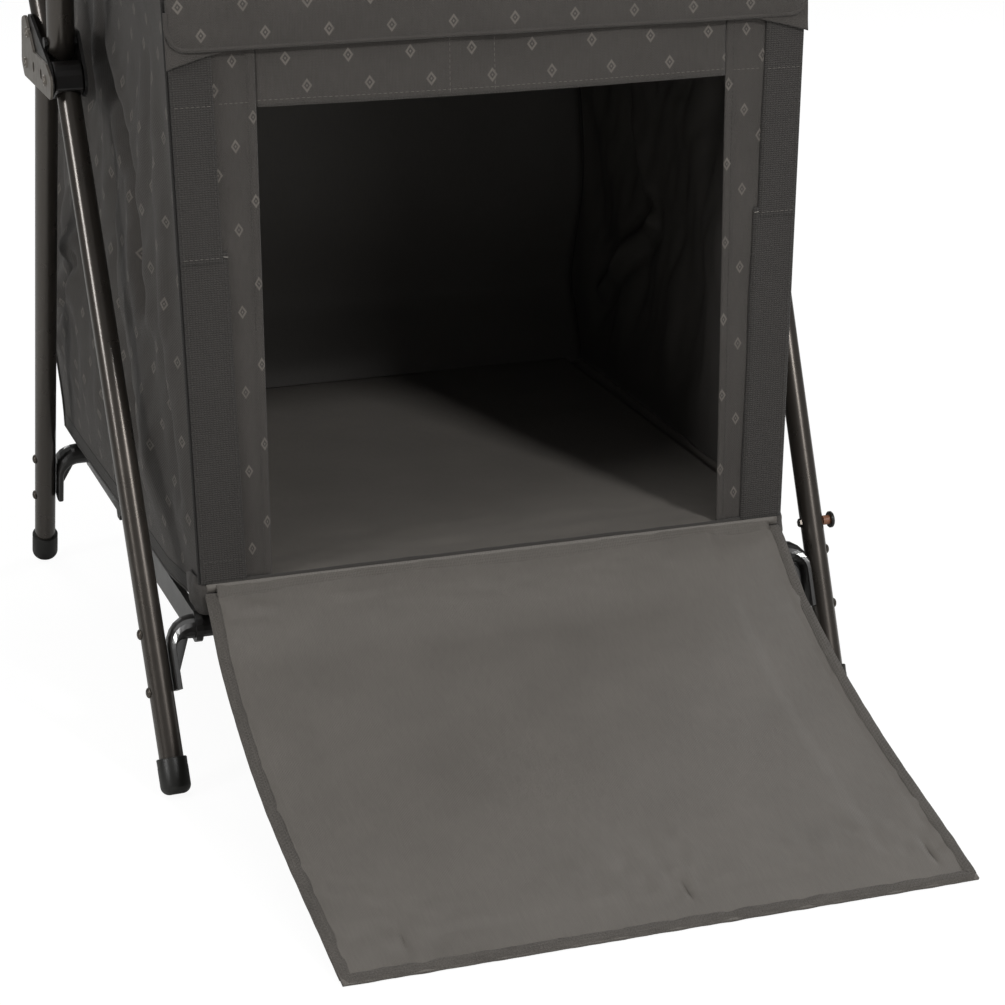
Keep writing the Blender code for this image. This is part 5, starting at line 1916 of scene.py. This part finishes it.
@dataclass
class TubeFrame:
    """Legs, uprights, cross bars, stretchers, feet, hubs and their fasteners."""

    foot_x: float = 0.2789
    foot_y: float = 0.2887
    pivot_y: float = 0.0434
    pivot_z: float = 0.515
    splay: float = 0.0119
    hub_x: float = 0.2908
    upper_y: float = 0.0285
    upper_z: float = 0.542
    upper_splay: float = 0.055
    leg_r: float = 9.5 * MM
    upper_r: float = 11 * MM
    upper_mark: float = 0.95
    tube_bevel: float = 0.4 * MM
    rubber_r: float = 11.9 * MM
    rubber_round: float = 7 * MM
    rubber_length: float = 28.5 * MM
    rubber_seat: float = 2.2 * MM
    rivet_face: float = 15.6 * MM
    stud_z: float = 0.137
    stud_clear: float = 0.3 * MM
    stud_run: float = 6.0 * MM
    leg_screws: Pair = (0.1154, 0.0743)
    upper_screws: Pair = (0.960, 0.919)

    @property
    def slope(self) -> float:
        """The legs' lean, in metres of depth for each metre of height."""
        return (self.foot_y - self.pivot_y) / self.pivot_z

    def leg_point(self, side: Side, end: End, height: float) -> Vector:
        """Give a point on a leg's axis at a height.

        Args:
            side: The tube's side.
            end: The tube's end.
            height: The height over the ground.

        Returns:
            The point in the row frame.
        """
        across = self.foot_x + self.splay * height / self.pivot_z
        out = self.foot_y - self.slope * height
        return Vector((side.value * across, HUB_Y + end.value * out, height))

    def upper_point(self, side: Side, end: End, height: float) -> Vector:
        """Give a point on an upper tube's axis at a height.

        Args:
            side: The tube's side.
            end: The tube's end.
            height: The height over the ground.

        Returns:
            The point in the row frame.
        """
        rise = height - self.upper_z
        out = self.upper_y + self.slope * rise
        return Vector((side.value * (self.hub_x + self.upper_splay * rise), HUB_Y + end.value * out, height))

    def build(self) -> list[Piece]:
        """Dress the frame's nodes and add its screws and rivets.

        Returns:
            The added pieces.
        """
        pieces = []
        for end in End:
            for side in Side:
                tag = f"{end.label}_{side.label}"
                low, high = self.leg_point(side, end, 0.0), self.leg_point(side, end, self.pivot_z)
                pieces.append(self.tube(f"leg_{tag}", f"legs_{end.label}", low, high, self.leg_r))
                low = self.upper_point(side, end, self.upper_z)
                high = self.upper_point(side, end, self.upper_mark)
                pieces.append(self.tube(f"upright_{tag}", f"uprights_{end.label}", low, high, self.upper_r))
                for node in ("boot", "plug", "saddle"):
                    dress(f"{node}_{tag}", NYLON)
                dress(f"stretcher_{tag}", BAR_PAINT)
                pieces += self.screws(side, end)
                pieces.append(self.foot(side, end))
            dress(f"base_bar_{end.label}", BAR_PAINT)
            dress(f"top_bar_{end.label}", BAR_PAINT)
        for side in Side:
            dress(f"hub_body_{side.label}", NYLON)
            dress(f"hub_plate_{side.label}", ZINC)
            pieces += self.rivets(side)
        pieces += self.stud()
        return pieces

    def tube(self, node: str, body: str, low: Vector, high: Vector, radius: float) -> Piece:
        """Draw a straight tube round, over the length of its CAD node.

        Args:
            node: The CAD node that it stands for.
            body: The body that it rides.
            low: A point low on its axis.
            high: A point high on its axis.
            radius: Its outer radius.

        Returns:
            The tube.
        """
        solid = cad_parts[node]
        along = (high - low).normalized()
        reach = [(solid.matrix_world @ vert.co - low).dot(along) for vert in solid.data.vertices]
        first, last = min(reach), max(reach)
        bevel = self.tube_bevel
        profile = [(0.0, radius - bevel), (bevel, radius)]
        profile += [((last - first) * step / 12, radius) for step in range(1, 12)]
        profile += [(last - first - bevel, radius), (last - first, radius - bevel)]
        piece = turned(f"{node}_tube", low + along * first, along, profile, TUBE_PAINT, 64)
        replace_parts(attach(piece, body), node)
        return piece

    def foot(self, side: Side, end: End) -> Piece:
        """Build a rubber foot with its moulded collar, flat where it stands.

        Args:
            side: The foot's side.
            end: The foot's end.

        Returns:
            The foot.
        """
        along = (self.leg_point(side, end, self.pivot_z) - self.leg_point(side, end, 0)).normalized()
        base = self.leg_point(side, end, 0) + along * self.rubber_seat
        radius, rounding, length = self.rubber_r, self.rubber_round, self.rubber_length
        profile = []
        for step in range(11):
            angle = math.pi / 2 * step / 10
            profile.append((rounding * (1 - math.cos(angle)), radius - rounding + rounding * math.sin(angle)))
        collar = (
            (7 * MM, 0.0),
            (6.6 * MM, 0.15 * MM),
            (1.0 * MM, 0.0),
            (0.3 * MM, 0.3 * MM),
            (0.0, 1.0 * MM),
        )
        profile += [(length - below, radius - within) for below, within in collar]
        piece = turned(f"foot_rubber_{end.label}_{side.label}", base, along, profile, RUBBER, 48)
        for vert in piece.data.vertices:
            vert.co.z = max(vert.co.z, 0.0)
        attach(piece, f"legs_{end.label}")
        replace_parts(piece, f"foot_{end.label}_{side.label}")
        return piece

    def rivets(self, side: Side) -> list[Piece]:
        """Build the pins' riveted heads on a hub plate.

        Args:
            side: The hub's side.

        Returns:
            The heads' pieces.
        """
        pieces = []
        across = side.value * (self.hub_x + self.rivet_face)
        pins = ((-self.pivot_y, self.pivot_z), (self.pivot_y, self.pivot_z), (self.upper_y, self.upper_z))
        for index, (y, z) in enumerate(pins):
            centre = Vector((across, HUB_Y + y, z))
            name = f"hub_rivet_{side.label}_{index}"
            head = Fastener(name, centre, Vector((side.value, 0, 0)), 4.6 * MM, 2.6 * MM)
            # The bores' bottoms are painted near-black as their shade.
            pieces += [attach(piece, "hubs") for piece in head.hollow(ZINC, BORE_PAINTED_SHADE)]
        return pieces

    def stud(self) -> list[Piece]:
        """Build the transport stud: a brown sleeve, a black head and a small nut.

        Returns:
            The sleeve, the head and the nut.
        """
        centre = self.leg_point(Side.RIGHT, End.FRONT, self.stud_z)
        out = Vector((1, 0, 0))
        start = centre + out * (self.leg_r + self.stud_clear)
        sleeve = turned("stud_sleeve", start, out, [(0, 4.0 * MM), (self.stud_run, 4.0 * MM)], COPPER_NYLON)
        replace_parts(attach(sleeve, "legs_front"), "transport_stud")
        shape = [
            (0, 6.4 * MM),
            (0.5 * MM, 6.9 * MM),
            (2.3 * MM, 6.9 * MM),
            (3.0 * MM, 6.2 * MM),
            (3.1 * MM, 3.0 * MM),
        ]
        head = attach(turned("stud_head", start + out * self.stud_run, out, shape, NYLON), "legs_front")
        inner = centre - out * (self.leg_r + self.stud_clear)
        nut = turned("stud_nut", inner, -out, [(0, 3.9 * MM), (1.8 * MM, 3.6 * MM)], DARK_SCREW, 6)
        return [sleeve, head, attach(nut, "legs_front")]

    def screws(self, side: Side, end: End) -> list[Piece]:
        """Build the screws that hold the cross bars' pressed ends.

        Args:
            side: The screws' side.
            end: The screws' end.

        Returns:
            The screws.
        """
        pieces = []
        out = Vector((side.value, 0, 0))
        for kind, body, heights, point, radius in (
            ("leg", "legs", self.leg_screws, self.leg_point, self.leg_r),
            ("upper", "uprights", self.upper_screws, self.upper_point, self.upper_r),
        ):
            for index, height in enumerate(heights):
                centre = point(side, end, height) + out * (radius + 0.1 * MM)
                name = f"{kind}_screw_{end.label}_{side.label}_{index}"
                screw = Fastener(name, centre, out).build(DARK_SCREW)
                pieces.append(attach(screw, f"{body}_{end.label}"))
        return pieces


@dataclass
class Studio:
    """The floor, the lamps and the camera."""

    location: Triple = (-0.6720, -2.0645, 0.9099)
    yaw: float = 0.3276
    pitch: float = 0.3297
    roll: float = -0.0057
    lens: float = 100.0
    sensor: float = 36.0
    floor_reach: float = 30.0
    floor_glow: float = 1.12
    glow_share: float = 0.84
    world_light: float = 0.19

    def build(self) -> None:
        """Set the camera, floor, lamps and world."""
        self.camera()
        self.floor()
        self.lamp("key", (1.15, -3.15, 2.9), (0.0, 0.0, 0.35), 0.5, 71)
        self.lamp("left_fill", (-3.0, -1.1, 1.7), (0.0, 0.0, 0.4), 0.8, 26)
        self.lamp("front_fill", (1.3, -3.3, 0.8), (0.0, 0.0, 0.4), 0.8, 10)
        self.lamp("right_back_fill", (2.8, 1.9, 1.8), (0.0, 0.2, 0.5), 1.2, 26)
        self.lamp("left_back_fill", (-1.2, 3.2, 2.0), (0.0, 0.2, 0.5), 1.0, 16)
        self.lamp("top", (-0.3, -0.6, 3.4), (0.0, -0.1, 0.3), 2.0, 22)
        self.world()
        bpy.context.scene.view_settings.view_transform = "Standard"

    def camera(self) -> None:
        """Place the camera at the photograph's angle."""
        data = bpy.data.cameras.new("camera")
        data.lens = self.lens
        data.sensor_width = self.sensor
        data.sensor_fit = "HORIZONTAL"
        view = bpy.data.objects.new("camera", data)
        bpy.context.collection.objects.link(view)
        level = math.cos(self.pitch)
        forward = Vector((math.sin(self.yaw) * level, math.cos(self.yaw) * level, -math.sin(self.pitch)))
        right = Vector((math.cos(self.yaw), -math.sin(self.yaw), 0.0))
        up = right.cross(forward)
        tilted_right = right * math.cos(self.roll) + up * math.sin(self.roll)
        tilted_up = up * math.cos(self.roll) - right * math.sin(self.roll)
        turn = Matrix((tilted_right, tilted_up, -forward)).transposed().to_4x4()
        view.matrix_world = Matrix.Translation(Vector(self.location)) @ turn
        bpy.context.scene.camera = view

    def seen(self, tree: Tree) -> Socket:
        """Give the socket that is 1 where the camera looks straight at a surface."""
        rays = add_node(tree, "ShaderNodeLightPath")
        return math_node(tree, "MAXIMUM", rays.outputs["Is Camera Ray"], rays.outputs["Is Transmission Ray"])

    def floor(self) -> None:
        """Lay a large pale floor that keeps the object's shadow."""
        mesh = bpy.data.meshes.new("studio_floor")
        reach = self.floor_reach
        corners = [(-reach, -reach, 0), (reach, -reach, 0), (reach, reach, 0), (-reach, reach, 0)]
        mesh.from_pydata(corners, [], [(0, 1, 2, 3)])
        floor = bpy.data.objects.new("studio_floor", mesh)
        bpy.context.collection.objects.link(floor)
        paper = bpy.data.materials.new("white_paper_floor")
        paper.use_nodes = True
        tree = paper.node_tree
        tree.nodes.clear()
        lit = add_node(tree, "ShaderNodeBsdfDiffuse", {"Color": linear("#e4e4e2")})
        glow = add_node(tree, "ShaderNodeEmission", {"Color": linear("#ffffff"), "Strength": self.floor_glow})
        share = math_node(tree, "MULTIPLY", self.seen(tree), self.glow_share)
        mixed = add_node(tree, "ShaderNodeMixShader", links={0: share, 1: lit.outputs[0], 2: glow.outputs[0]})
        add_node(tree, "ShaderNodeOutputMaterial", links={0: mixed.outputs[0]})
        mesh.materials.append(paper)

    def lamp(self, name: str, where: Triple, target: Triple, size: float, power: float) -> None:
        """Hang a soft square lamp.

        Args:
            name: The lamp's name.
            where: Its place in metres.
            target: The point that it faces.
            size: The length of its sides in metres.
            power: Its power in watts.
        """
        data = bpy.data.lights.new(name, "AREA")
        data.shape = "SQUARE"
        data.size = size
        data.energy = power
        lamp = bpy.data.objects.new(name, data)
        bpy.context.collection.objects.link(lamp)
        lamp.location = where
        aim = Vector(target) - Vector(where)
        lamp.rotation_euler = aim.to_track_quat("-Z", "Y").to_euler()

    def world(self) -> None:
        """Fill the surroundings: white where it is seen, dimmer where it lights."""
        world = bpy.data.worlds.new("studio")
        bpy.context.scene.world = world
        world.use_nodes = True
        tree = world.node_tree
        tree.nodes.clear()
        links = {0: self.seen(tree)}
        for slot, strength in ((1, self.world_light), (2, 1.0)):
            settings = {"Color": linear("#ffffff"), "Strength": strength}
            links[slot] = add_node(tree, "ShaderNodeBackground", settings).outputs[0]
        mixed = add_node(tree, "ShaderNodeMixShader", links=links)
        add_node(tree, "ShaderNodeOutputWorld", links={0: mixed.outputs[0]})


def main() -> None:
    """Build every sub-assembly in order."""
    logging.basicConfig(level=logging.INFO, format="%(message)s")
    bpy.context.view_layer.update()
    cabinet = Cabinet()
    loops = {f"loop_{end.label}_{side.label}": BINDING for end in End for side in Side}
    assemblies = {
        "frame": TubeFrame(),
        "cabinet": cabinet,
        "front": FrontFace(cabinet),
        "lower door": LowerDoor(),
        "upper door": UpperDoor(),
        "loops": DressedNodes(loops),
        "worktop": DressedNodes({"worktop_panel": TOP_LAMINATE, "worktop_edge": EDGE}),
    }
    for title, assembly in assemblies.items():
        for piece in assembly.build():
            LOG.info("%s: %s, %d faces", title, piece.name, len(piece.data.polygons))
    Studio().build()


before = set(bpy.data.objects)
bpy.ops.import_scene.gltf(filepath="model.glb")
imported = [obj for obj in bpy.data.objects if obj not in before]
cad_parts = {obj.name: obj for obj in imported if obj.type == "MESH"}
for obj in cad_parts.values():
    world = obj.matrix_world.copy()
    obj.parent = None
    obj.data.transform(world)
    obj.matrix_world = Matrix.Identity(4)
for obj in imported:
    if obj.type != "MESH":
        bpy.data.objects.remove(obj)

if __name__ == "__main__":
    main()
